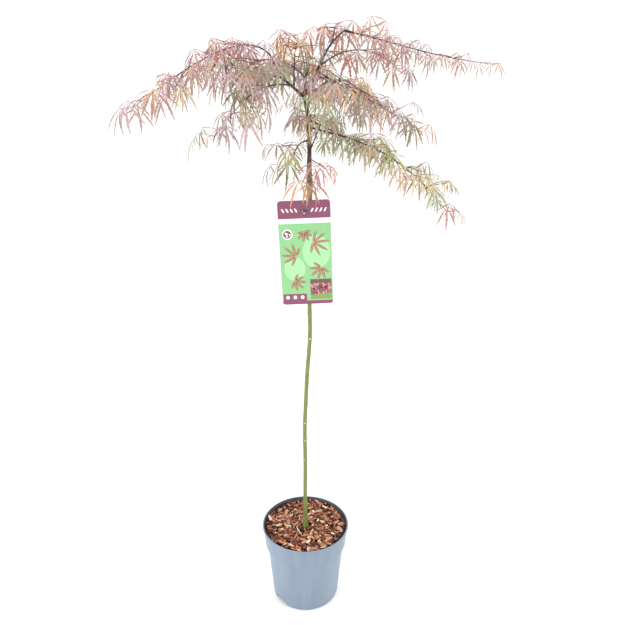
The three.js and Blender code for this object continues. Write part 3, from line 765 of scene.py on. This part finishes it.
def make_pot(outside, inside):
    pot = ring_body(pot_rings(), POT_SIDES)
    for azimuth in DRAIN_AZIMUTHS:
        deselect()
        bpy.ops.mesh.primitive_cube_add(size=1)
        notch = bpy.context.object
        notch.scale = (NOTCH_DEPTH * MM, DRAIN_WIDTH * MM, 2 * DRAIN_HEIGHT * MM)
        notch.rotation_euler = (0, 0, math.radians(azimuth))
        notch.location = heading(azimuth) * POT_FOOT_RADIUS * MM
        for vertex in notch.data.vertices:
            if vertex.co.z > 0 and vertex.co.y > 0:
                vertex.co.y -= NOTCH_SLANT
        cut_away(pot, notch)
    pot.data.materials.append(outside)
    pot.data.materials.append(inside)
    lip_inside = (POT_RIM_RADIUS - LIP_OVERHANG - POT_WALL + 0.4) * MM
    for face in pot.data.polygons:
        reach = math.hypot(face.center.x, face.center.y)
        inward = face.normal.x * face.center.x + face.normal.y * face.center.y < 0
        floor = face.normal.z > 0.9 and face.center.z < 20 * MM
        if (inward and reach < lip_inside and face.center.z > 2 * MM) or floor:
            face.material_index = 1
    select_only(pot)
    bpy.ops.object.shade_smooth_by_angle(angle=math.radians(SMOOTH_BELOW))
    return settle(pot, "nursery_pot")


# ---- Bark mulch ----
# The colours of the bark flakes, and how often each comes.
CHIP_COLOURS = {
    "a3664b": 6, "7d4b3a": 6, "c07f58": 4, "4e3128": 5, "b48876": 4, "38231d": 3, "d6ae8d": 2, "ead6ae": 1,
}
PINKISH, TAN, STRAW = 4, 6, 7
CHIP_SEED = 4177
CHIP_COUNT = 1700
CHIP_LENGTH = (4.5, 18)
CHIP_ASPECT = (0.16, 0.62)
CHIP_THICKNESS = (0.7, 2.2)
CHIP_WALL = 88.6
STEM_ROOM = 8.5
# The lower and the upper flakes: steepest tilt, and least and greatest height over the soil.
LOWER_SHARE = 0.45
LOWER_LAYER = (8, (1, 3.2))
UPPER_LAYER = (24, (2.4, 5.8))
# The mulch banks up at the wall, and rises and sinks a little on its way there.
BANK = {"height": 1.8, "width": 14}
SWELL = {"height": 0.9, "pace": 0.07}
# Larger pieces that lie on top: place, length, width, way it lies, and colour.
LARGE_PIECES = (
    (-59, -4, 17, 9, 15, TAN), (-80, 20, 20, 9, 105, TAN), (76, -17, 21, 10, 120, PINKISH),
    (-2, -58, 18, 10, 60, PINKISH), (30, 44, 19, 8, 20, PINKISH), (-30, -68, 16, 7, 150, TAN),
    (52, -48, 17, 8, 35, PINKISH), (-44, 40, 18, 8, 70, PINKISH),
    (-14, -24, 29, 2.4, 116, STRAW), (14, -27, 21, 2.2, 71, STRAW),
)
LARGE_THICKNESS = 1.6
LARGE_LIFT = 6.6
# One half of a flake's outline, from end to end: shares of its length and of its width.
FLAKE_SIDE = ((0.5, 0.24), (0.2, 0.5), (-0.2, 0.46), (-0.5, 0.28))
# Its outline from the bottom up: the share that it draws in to, and the share of its thickness.
FLAKE_LEVELS = ((0.9, 0), (1, 0.4), (0.96, 0.8), (0.74, 1))


def flake(length, width, thick, chance):
    """A torn strip that lies level at the origin, with a ragged outline that draws in above."""
    outline = np.array([
        (sign * x * length * chance.between(0.84, 1), sign * y * width * chance.between(0.7, 1), 0)
        for sign in (1, -1) for x, y in FLAKE_SIDE
    ])
    corners = len(outline)
    curl = chance.between(-0.1, 0.16)
    rings = []
    for shrink, level in FLAKE_LEVELS:
        ring = outline * (shrink, shrink, 0)
        ring[:, 2] = thick * level + curl * ring[:, 0] ** 2 / length
        ring[:, 2] += [0.12 * thick * chance.between(-1, 1) for _ in range(corners)]
        rings.append(ring)
    return np.vstack(rings), skin_faces(len(rings), corners)


def tilted(points, way, pitch, roll):
    """Points about the origin, rolled, pitched and turned to lie along a way, all in degrees."""
    plan = ((way, "Z"), (pitch, "Y"), (roll, "X"))
    turns = [Matrix.Rotation(math.radians(turn), 3, axis) for turn, axis in plan]
    return points @ np.array(turns[0] @ turns[1] @ turns[2]).T


def make_mulch(materials):
    """Flakes strewn over the soil out to the wall, the lower ones flat and the upper ones tilted."""
    chance = Chance(CHIP_SEED)
    heap = Heap()
    colours = deck(CHIP_COLOURS)
    for number in range(CHIP_COUNT):
        lean, lift = UPPER_LAYER if number > LOWER_SHARE * CHIP_COUNT else LOWER_LAYER
        length = mix(*CHIP_LENGTH, chance.draw() ** 1.8)
        width = length * mix(*CHIP_ASPECT, chance.draw() ** 1.5)
        azimuth, way = chance.between(0, 360), chance.between(0, 180)
        out, over = abs(math.cos(math.radians(way))), abs(math.sin(math.radians(way)))
        deep, wide = 0.5 * (length * out + width * over), 0.5 * (length * over + width * out)
        room = math.sqrt(CHIP_WALL**2 - wide**2) - deep
        reach = max(room * math.sqrt(chance.draw()), STEM_ROOM + deep + 6 * chance.draw())
        points, faces = flake(length, width, chance.between(*CHIP_THICKNESS), chance)
        pitch, roll = chance.between(-lean, lean), 1.3 * chance.between(-lean, lean)
        points = tilted(points, azimuth + way, pitch, roll)
        level = SOIL_TOP + chance.between(*lift)
        level += BANK["height"] * math.exp((reach - CHIP_WALL) / BANK["width"])
        level += SWELL["height"] * math.sin(SWELL["pace"] * reach + math.radians(2 * azimuth))
        heap.add(points + reach * heading(azimuth) + level * UP, faces, chance.pick(colours))
    for x, y, length, width, way, colour in LARGE_PIECES:
        points, faces = flake(length, width, LARGE_THICKNESS, chance)
        points = tilted(points, way, chance.between(-8, 8), chance.between(-12, 12))
        heap.add(points + (x, y, SOIL_TOP + LARGE_LIFT), faces, colour)
    return heap.piece("bark_mulch", materials, smooth=False)


# ---- Trunk and boughs ----
def curved_limb(points, radii, name, round_steps=6, along_steps=4):
    """A Bezier curve is led through the points, given its thickness, and made a mesh."""
    deselect()
    bpy.ops.curve.primitive_bezier_curve_add()
    curve = bpy.context.object
    curve.data.dimensions = "3D"
    curve.data.bevel_depth = MM
    curve.data.bevel_resolution = round_steps
    curve.data.resolution_u = along_steps
    curve.data.use_fill_caps = True
    spline = curve.data.splines[0]
    spline.bezier_points.add(len(points) - 2)
    for knot, point, radius in zip(spline.bezier_points, points, radii):
        knot.co = point * MM
        knot.radius = radius
        knot.handle_left_type = knot.handle_right_type = "AUTO"
    bpy.ops.object.convert(target="MESH")
    return settle(bpy.context.object, name)


def bark_relief(obj, grain, depth):
    """Moves the skin in and out by a few tenths of a millimetre, in a pattern of the given grain."""
    texture = bpy.data.textures.new(obj.name + "_relief", "CLOUDS")
    texture.noise_scale = grain * MM
    texture.noise_depth = 3
    apply_modifier(obj, "DISPLACE", texture=texture, texture_coords="GLOBAL", strength=depth * MM)


# Scars that shed side shoots have left on the stem: height, side it looks to, and size.
SCARS = (
    (338, 238, 1.0), (385, 276, 1.1), (426, 264, 1.2), (469, 120, 1.0), (515, 200, 1.3), (561, 310, 0.7),
    (614, 282, 1.3), (668, 110, 1.0), (716, 286, 1.1), (770, 96, 1.0), (826, 270, 1.1), (872, 80, 1.0),
)
SCAR_RADII = np.array([2.1, 1.9, 1.1])
SCAR_SQUASH = 0.75
# The stem thickens a little at each scar and over its graft, and wanders a little from its line.
STEM_JOINT = {"extra": 0.42, "length": 3.2}
UNION = {"extra": 0.7, "height": 908, "length": 26}
WANDER = {"offset": 0.5, "wave": 23, "middle": 640, "length": 420}
STEM_POINTS = 182


def make_trunk(bark, scar):
    line = TrunkLine()
    plan = Trunk(line, 0, 1, TRUNK_RADIUS, FORK_RADIUS)
    points, radii = [], []
    for share in np.linspace(0, 1, STEM_POINTS):
        z = mix(TRUNK_FOOT, FORK[2], share)
        joints = sum(STEM_JOINT["extra"] * bulge(z, height, STEM_JOINT["length"]) for height, _, _ in SCARS)
        union = UNION["extra"] * bulge(z, UNION["height"], UNION["length"])
        wander = WANDER["offset"] * math.sin(z / WANDER["wave"])
        wander *= bulge(z, WANDER["middle"], WANDER["length"])
        points.append(line.point(share) + np.array([wander, 0.5 * wander, 0]))
        radii.append(plan.radius(share) + joints + union)
    points.append(points[-1] + 2.2 * UP)
    radii.append(0.62 * radii[-1])
    trunk = curved_limb(points, radii, "trunk_bark", 8, 3)
    bark_relief(trunk, 5, 0.35)
    trunk.data.materials.append(bark)
    heap = Heap()
    for height, azimuth, size in SCARS:
        share = trunk_share(height)
        out = heading(azimuth)
        foot = line.point(share) + (plan.radius(share) - 0.5) * out
        ring, faces = tube(np.array([foot, foot + 0.9 * out, foot + 1.5 * out]), SCAR_RADII * size, 10)
        ring[:, 2] = height + (ring[:, 2] - height) * SCAR_SQUASH
        heap.add(ring, faces)
    scars = heap.piece("scars", (scar,))
    return join([trunk, scars], "trunk_bark")


# How stout the limbs are next to their solids: shares of the radius at start and tip.
MAIN_STOUTNESS = (1.14, 0.8)
ARCH_STOUTNESS = (0.88, 0.62)
# What a limb gains at its collar and at each joint, by even steps along it.
COLLAR = {"extra": 0.7, "length": 7}
LIMB_JOINT = {"extra": 0.22, "length": 2.2, "step": 31, "place": 15.5, "shift": 9}


def make_boughs(limbs, masses, bark):
    """Every limb of the crown, from its collar out to its tip, as one skin with the bark's relief."""
    pieces = []
    plans = [(name, limbs[name], MAIN_STOUTNESS) for name, *_ in MAINS]
    plans += [(mass["name"], mass["bough"], ARCH_STOUTNESS) for mass in masses]
    for name, plan, stoutness in plans:
        length = plan.line.length()
        chance = Chance(len(pieces) + 7)
        points, radii = [], []
        for share in np.linspace(0, 1, max(14, round(length / 5))):
            way = share * length
            gain = COLLAR["extra"] * math.exp(-way / COLLAR["length"])
            step = (way + LIMB_JOINT["shift"]) % LIMB_JOINT["step"]
            joint = LIMB_JOINT["extra"] * bulge(step, LIMB_JOINT["place"], LIMB_JOINT["length"])
            points.append(plan.line.point(share))
            radius = mix(*stoutness, share) * plan.radius(share)
            radii.append(radius * chance.between(0.96, 1.05) + gain + joint)
        radii[-1] *= 0.7
        pieces.append(curved_limb(points, radii, name + "_limb", 3, 2))
    boughs = join(pieces, "boughs_bark")
    bark_relief(boughs, 3, 0.22)
    boughs.data.materials.append(bark)
    shade_smooth(boughs)
    return boughs


# ---- Twigs, stalks and leaves ----
# One finger of a leaf, from hub to tip: places along it, and shares of its half width and of the
# way that its teeth sweep forward.
LOBE_ROWS = np.array([0, 0.08, 0.16, 0.24, 0.33, 0.41, 0.5, 0.58, 0.67, 0.75, 0.84, 0.92, 1])
LOBE_WIDTHS = np.array([0.12, 0.16, 0.34, 0.42, 0.9, 0.72, 1.1, 0.74, 0.9, 0.48, 0.46, 0.16])
LOBE_SWEEP = np.array([0, 0, 0.03, 0, 0.035, 0, 0.035, 0, 0.035, 0, 0.03, 0])
LOBE_HALF_WIDTH = 0.049
# How steeply it falls at the hub and at the tip, against its leaf.
LOBE_FALL = (4, 48)


def lobe_faces():
    """Two strips of faces, one on each side of the midrib, that close at the tip."""
    rows, tip = len(LOBE_WIDTHS), 3 * len(LOBE_WIDTHS)
    faces = []
    for row in range(rows - 1):
        a, b = 3 * row, 3 * (row + 1)
        faces += [(a, b, b + 1, a + 1), (a, a + 2, b + 2, b)]
    last = 3 * (rows - 1)
    return faces + [(last, tip, last + 1), (last, last + 2, tip)]


LOBE_FACES = lobe_faces()


def lobe(leaf, angle, share, chance):
    """One toothed finger of a leaf. It falls more and more on its way out, twists, and folds along
    its rib."""
    ahead, face = leaf["ahead"], leaf["face"]
    reach = share * leaf["length"] * chance.between(0.9, 1.03)
    turn = math.radians(angle * leaf["open"] + chance.between(-6, 6))
    way = math.cos(turn) * ahead + math.sin(turn) * np.cross(face, ahead)
    side = np.cross(face, way)
    first_fall = LOBE_FALL[0] + chance.between(-6, 6)
    last_fall = LOBE_FALL[1] + chance.between(-16, 12)
    fall = np.radians(mix(first_fall, last_fall, LOBE_ROWS))
    swing = math.radians(chance.between(-14, 14)) * LOBE_ROWS
    level = np.cos(swing)[:, None] * way + np.sin(swing)[:, None] * side
    ways = np.cos(fall)[:, None] * level - np.sin(fall)[:, None] * face
    steps = 0.5 * (ways[1:] + ways[:-1]) * np.diff(LOBE_ROWS)[:, None] * reach
    rib = leaf["hub"] + np.vstack([np.zeros(3), np.cumsum(steps, axis=0)])
    across = np.cross(face, ways)
    across /= np.linalg.norm(across, axis=1)[:, None]
    up = np.cross(ways, across)
    twist = math.radians(chance.between(-30, 30)) * LOBE_ROWS
    flat = np.cos(twist)[:, None] * across + np.sin(twist)[:, None] * up
    over = np.cos(twist)[:, None] * up - np.sin(twist)[:, None] * across
    fold = math.radians(chance.between(8, 34))
    wide = (LOBE_WIDTHS * LOBE_HALF_WIDTH * reach * chance.between(0.85, 1.1))[:, None]
    swept = (LOBE_SWEEP * reach)[:, None] * ways[:-1]
    lift = wide * math.sin(fold) * over[:-1] + swept
    left = rib[:-1] + wide * math.cos(fold) * flat[:-1] + lift
    right = rib[:-1] - wide * math.cos(fold) * flat[:-1] + lift
    rows = np.stack([rib[:-1], left, right], axis=1).reshape(-1, 3)
    return np.vstack([rows, rib[-1]])


TWIG_RADII = np.linspace(1.0, 0.62, 7)
STALK_RADII = np.array([0.72, 0.5, 0.44, 0.42, 0.46, 0.7])
# What each mass adds to its seed for the shapes of its leaves, their colours, and its twigs.
LEAF_SHAPES, LEAF_TINTS, TWIG_BOWS = 500, 900, 300


def make_leaves(masses, tints):
    """One piece for each kind of spray. The leaves of a spray share one of its colours."""
    pieces = []
    for kind, shades in TINTS.items():
        heap = Heap()
        tint_deck = deck(shades)
        mine = [mass for mass in masses if mass["tint"] == kind]
        for mass in mine:
            shape = Chance(mass["seed"] + LEAF_SHAPES)
            dealt = Chance(mass["seed"] + LEAF_TINTS)
            colours = {}
            for leaf in mass["leaves"]:
                if leaf["spray"] not in colours:
                    colours[leaf["spray"]] = dealt.pick(tint_deck)
                for angle, share in zip(LOBE_ANGLES, LOBE_SHARES):
                    heap.add(lobe(leaf, angle, share, shape), LOBE_FACES, colours[leaf["spray"]])
        piece = heap.piece("leaves_" + kind, [tints[name] for name in shades])
        pieces.append((piece, "leaf_" + kind, [mass["name"] + "_leaves" for mass in mine]))
    return pieces


def bowed(root, end, count, rise):
    """A line of points that bows upwards between its ends."""
    shares = np.linspace(0, 1, count)[:, None]
    return mix(root, end, shares) + UP * np.sin(math.pi * shares) * rise


def make_twigs(masses, bark, stalk):
    """Side twigs, and the thin stalks that bow down to the leaves."""
    heap = Heap()
    for mass in masses:
        chance = Chance(mass["seed"] + TWIG_BOWS)
        for root, end in mass["twigs"]:
            line = bowed(root, end, len(TWIG_RADII), chance.between(0.6, 2.4))
            heap.add(*tube(line, TWIG_RADII, 6), 0)
        for leaf in mass["leaves"]:
            line = bowed(leaf["root"], leaf["hub"], len(STALK_RADII), chance.between(0.4, 2.0))
            heap.add(*tube(line, STALK_RADII, 5), 1)
    return heap.piece("twigs_and_stalks", (bark, stalk))


# ---- Label and its tie ----
# Inks: the name of each one's material, and the two shades that its print dots make.
INKS = {
    "plum": ("plum_ink", "7c3c59", "854561"),
    "white": ("bare_white_card", "f0f0ee", "fafaf8"),
    "green": ("green_ink", "7fb77c", "89c184"),
    "pale": ("pale_green_ink", "98cb93", "a3d49d"),
    "russet": ("russet_ink", "7e4a40", "935a4d"),
    "straw": ("straw_ink", "c9a77e", "d6b88f"),
    "rose": ("rose_ink", "9e566c", "ab6379"),
    "blush": ("blush_ink", "bb7f86", "c68c92"),
    "umber": ("umber_ink", "5f443d", "6c4f47"),
    "moss": ("moss_ink", "6f9148", "7c9e53"),
}
# Bands of the face, by how far down each ends, and their inks from the top.
LABEL_BANDS = (33, 42, 191)
BAND_INKS = ("plum", "white", "green", "plum")
# Plain shapes printed on the face: kind, place from the top middle, size, layer, ink and turn.
PRINTS = (
    ("round", (20, 96), (52, 64), 1, "pale", 0), ("round", (-22, 128), (40, 46), 1, "pale", 0),
    ("square", (0, 37.5), (58, 0.8), 1, "rose", 0),
    ("square", (-24, 184), (45, 14), 2, "plum", 0),
    ("square", (26, 168), (40, 38), 2, "umber", 0), ("square", (26, 183), (40, 11), 3, "moss", 0),
    ("round", (-33, 62), (19, 19), 2, "white", 0), ("round", (-33, 62), (15, 15), 3, "plum", 0),
    ("round", (-33, 62), (11, 4), 4, "white", 40), ("round", (-31, 64), (10, 4), 4, "white", -30),
)
# Slanting blades in the top band: place across and turn.
HEADER_BLADES = ((-39, 60), (-31, 60), (-23, 60), (-15, 60), (15, -60), (23, -60), (31, -60), (39, -60))
HEADER_DROP = 18
# Sprays of narrow blades, a plain leaf ornament: hub, length of a blade and turn of the spray.
PRINTED_SPRAYS = (
    (14, 78, 33, 10), (-18, 104, 30, 200), (28, 126, 27, 120), (-24, 152, 24, 20), (-2, 58, 20, 75),
)
# The blades of one spray: turn and share of the length.
SPRAY_BLADES = ((-82, 0.7), (-46, 0.9), (-14, 1), (20, 1), (54, 0.9), (92, 0.65))
BLADE_WIDTH = 4.6
RIB_WIDTH = 0.8
# A low hedge of round bushes: first place, steps across and down, and bushes across and down.
HEDGE = {"start": (10, 161), "step": (5.2, 7), "size": (7, 3), "seed": 61}
HEDGE_INKS = ("rose", "blush", "russet")
FOOT_SPOTS = ((-38, 184), (-24, 184), (-10, 184))
PRINT_LAYER = 0.02


def flat_shape(kind, place, size, layer, material, turn=0.0, corners=32):
    """A thin printed shape, set on the face of the card."""
    deselect()
    x, z = place
    front = LABEL["y"] - LABEL["thickness"] - PRINT_LAYER * layer
    where = (x * MM, front * MM, (LABEL["top"] - z) * MM)
    if kind == "square":
        bpy.ops.mesh.primitive_plane_add(size=1, location=where)
    else:
        bpy.ops.mesh.primitive_circle_add(vertices=corners, radius=0.5, fill_type="NGON", location=where)
    shape = bpy.context.object
    shape.rotation_euler = (math.pi / 2, math.radians(turn), 0)
    shape.scale = (size[0] * MM, size[1] * MM, 1)
    shape.data.materials.append(material)
    return shape


def make_card(inks):
    """The card with its round corners and coloured bands, before it is punched."""
    deselect()
    middle = (0, (LABEL["y"] - LABEL["thickness"]) * MM, (LABEL["top"] - LABEL["height"] / 2) * MM)
    bpy.ops.mesh.primitive_plane_add(size=1, location=middle, rotation=(math.pi / 2, 0, 0))
    card = bpy.context.object
    card.scale = (LABEL["width"] * MM, LABEL["height"] * MM, 1)
    settle(card, "card")
    bpy.ops.object.mode_set(mode="EDIT")
    bpy.ops.mesh.select_all(action="SELECT")
    bpy.ops.mesh.bevel(offset=LABEL["corner"] * MM, segments=6, affect="VERTICES")
    for drop in LABEL_BANDS:
        bpy.ops.mesh.select_all(action="SELECT")
        bpy.ops.mesh.bisect(plane_co=(0, 0, (LABEL["top"] - drop) * MM), plane_no=(0, 0, 1))
    bpy.ops.object.mode_set(mode="OBJECT")
    for name in BAND_INKS:
        card.data.materials.append(inks[name])
    for face in card.data.polygons:
        drop = LABEL["top"] - face.center.z / MM
        face.material_index = sum(drop > band for band in LABEL_BANDS)
    apply_modifier(card, "SOLIDIFY", thickness=LABEL["thickness"] * MM, offset=-1, use_even_offset=True)
    return card


def printed_shapes(inks):
    shapes = []
    for kind, place, size, layer, ink, turn in PRINTS:
        shapes.append(flat_shape(kind, place, size, layer, inks[ink], turn))
    for x, turn in HEADER_BLADES:
        shapes.append(flat_shape("round", (x, HEADER_DROP), (9, 3), 2, inks["white"], turn, 12))
    for x, drop, long, turn in PRINTED_SPRAYS:
        for angle, share in SPRAY_BLADES:
            way, reach = math.radians(turn + angle), 0.5 * share * long
            place = (x + reach * math.cos(way), drop + reach * math.sin(way))
            blade = (2 * reach, BLADE_WIDTH)
            shapes.append(flat_shape("round", place, blade, 3, inks["russet"], turn + angle, 10))
            rib = (1.9 * reach, RIB_WIDTH)
            shapes.append(flat_shape("square", place, rib, 4, inks["straw"], turn + angle))
    chance = Chance(HEDGE["seed"])
    (left, top), (across, down), (bushes, rows) = HEDGE["start"], HEDGE["step"], HEDGE["size"]
    for row in range(rows):
        for bush in range(bushes):
            x = left + across * bush + chance.between(-1, 1)
            place = (x, top + down * row + chance.between(-1.5, 1.5))
            ink = inks[chance.pick(HEDGE_INKS)]
            shapes.append(flat_shape("round", place, (chance.between(5, 8),) * 2, 4, ink, 0, 16))
    for place in FOOT_SPOTS:
        shapes.append(flat_shape("round", place, (7, 7), 3, inks["white"], 0, 20))
    return shapes


def make_label(inks):
    card = make_card(inks)
    deselect()
    hole = Vector((0, LABEL["y"] - LABEL["thickness"] / 2, LABEL["top"] - LABEL_HOLE["drop"])) * MM
    bpy.ops.mesh.primitive_cylinder_add(
        vertices=32, radius=LABEL_HOLE["radius"] * MM, depth=6 * MM, location=hole,
        rotation=(math.pi / 2, 0, 0),
    )
    cut_away(card, bpy.context.object)
    label = join([card, *printed_shapes(inks)], "plant_label")
    # It hangs a little askew from its hole.
    askew = Matrix.Rotation(math.radians(-LABEL["tilt"]), 4, "Y")
    label.matrix_world = Matrix.Translation(hole) @ askew @ Matrix.Translation(-hole)
    return settle(label, "plant_label")


# The azimuths at which the tie's loop passes round the stem, and the coil that closes it.
LOOP_AZIMUTHS = (315, 0, 45, 90, 135, 180)
COIL = {"points": 40, "pace": 9, "half_length": 3.4, "depth": 2, "height": 2.3, "slope": 0.5}


def make_tie(plastic):
    """A loop round the stem and through the hole, closed by a few turns in front of the card."""
    trunk = Trunk(TrunkLine(), 0, 1, TRUNK_RADIUS, FORK_RADIUS)
    strand = TIE_RADIUS + 0.3
    play = LABEL_HOLE["radius"] - TIE_RADIUS - 0.3
    height = LABEL["top"] - LABEL_HOLE["drop"] + math.sqrt(play**2 - strand**2)
    share = trunk_share(height)
    centre, reach = trunk.line.point(share), trunk.radius(share) + TIE_RADIUS + 0.6
    middle = LABEL["y"] - LABEL["thickness"] / 2
    behind = middle + LABEL["thickness"] + TIE_RADIUS
    front = middle - LABEL["thickness"] - 2 * TIE_RADIUS
    loop = [
        np.array([0, front, height]), np.array([strand, middle, height]),
        np.array([2 * strand, behind, height]),
        *(centre + reach * heading(azimuth) for azimuth in LOOP_AZIMUTHS),
        np.array([-strand, behind + TIE_RADIUS, height]), np.array([-strand, middle, height]),
        np.array([0, front, height]),
    ]
    coil = [
        np.array([
            0.5 + COIL["half_length"] * t,
            front - 1.4 + COIL["depth"] * math.cos(COIL["pace"] * t),
            height - 1.2 + COIL["slope"] * t + COIL["height"] * math.sin(COIL["pace"] * t),
        ])
        for t in np.linspace(-1, 1, COIL["points"])
    ]
    strands = [
        curved_limb(loop, [TIE_RADIUS] * len(loop), "loop", 3, 6),
        curved_limb(coil, [TIE_RADIUS] * len(coil), "coil", 3, 3),
    ]
    tie = join(strands, "twist_tie")
    tie.data.materials.append(plastic)
    shade_smooth(tie)
    return tie


# ---- Make and dress the plant ----
limbs, masses = grow_plant()

blue_grey = moulded_polypropylene("blue_grey_polypropylene", "758497", "7e8d9e", 0.38)
anthracite = moulded_polypropylene("anthracite_polypropylene", "3a3b43", "45464f", 0.5)
dress(make_pot(blue_grey, anthracite), "pot_plastic", "pot")

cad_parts["filling"].data.materials.clear()
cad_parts["filling"].data.materials.append(peat("damp_peat"))
chips = [pine_bark("pine_bark_" + colour, colour) for colour in CHIP_COLOURS]
dress(make_mulch(chips), "bark_mulch")

scar_wood = pine_bark("healed_scar_wood", "cbb795")
dress(make_trunk(green_bark("young_green_bark"), scar_wood), "green_bark", "trunk")

bough_bark = dark_bark("dark_bough_bark", "2a1b1e", "4a3533")
bough_nodes = [name for name, *_ in MAINS] + [mass["name"] + "_bough" for mass in masses]
dress(make_boughs(limbs, masses, bough_bark), "dark_bark", *bough_nodes)
twig_bark = dark_bark("young_twig_bark", "482f33", "6c4c48")
stalk_skin = autumn_leaf("leaf_stalk_skin", "a9685c")
dress(make_twigs(masses, twig_bark, stalk_skin), "dark_bark")

tints = {name: autumn_leaf("leaf_" + name, colour) for name, colour in LEAF_COLOURS.items()}
for piece, slot, nodes in make_leaves(masses, tints):
    dress(piece, slot, *nodes)

inks = {ink: printed_card(*row) for ink, row in INKS.items()}
dress(make_label(inks), "label_card", "label")
dress(make_tie(twist_tie_plastic("green_tie_plastic")), "tie_plastic", "label_tie")

# ---- Stage, light and camera, in metres and watts ----
FLOOR_SIZE = 60
ROOM_LIGHT = 1.08
# Soft boxes: name, place, aim, width, height and power.
SOFT_BOXES = (
    ("left_soft_box", (-1.9, -1.5, 1.7), (0, 0, 0.8), 1.6, 2.0, 34),
    ("right_soft_box", (2.1, -0.9, 1.5), (0, 0, 0.8), 1.6, 2.0, 14),
    ("top_soft_box", (0.2, 0.6, 2.9), (0, 0, 0.9), 2.2, 2.2, 26),
)
CAMERA = {"place": (0.0157, -1.073, 1.029), "looks_down": 18.6, "lens": 33.41, "sensor": 36}

deselect()
bpy.ops.mesh.primitive_plane_add(size=FLOOR_SIZE)
floor = bpy.context.object
floor.name = "floor"
floor_paint, *_ = new_material("matt_white_floor", Base_Color=linear("ffffff"), Roughness=0.9)
floor.data.materials.append(floor_paint)

world = bpy.data.worlds.new("soft_white_room")
world.use_nodes = True
background = world.node_tree.nodes["Background"].inputs
background["Color"].default_value = (1, 1, 1, 1)
background["Strength"].default_value = ROOM_LIGHT
bpy.context.scene.world = world
bpy.context.scene.view_settings.view_transform = "Standard"

for name, place, aim, wide, high, power in SOFT_BOXES:
    lamp = bpy.data.lights.new(name, "AREA")
    lamp.shape, lamp.size, lamp.size_y, lamp.energy = "RECTANGLE", wide, high, power
    box = bpy.data.objects.new(name, lamp)
    box.location = place
    box.rotation_mode = "QUATERNION"
    box.rotation_quaternion = (Vector(aim) - Vector(place)).to_track_quat("-Z", "Y")
    bpy.context.scene.collection.objects.link(box)

camera_data = bpy.data.cameras.new("camera")
camera_data.lens = CAMERA["lens"]
camera_data.sensor_width = CAMERA["sensor"]
camera = bpy.data.objects.new("camera", camera_data)
camera.location = CAMERA["place"]
camera.rotation_euler = (math.radians(90 - CAMERA["looks_down"]), 0, 0)
bpy.context.scene.collection.objects.link(camera)
bpy.context.scene.camera = camera
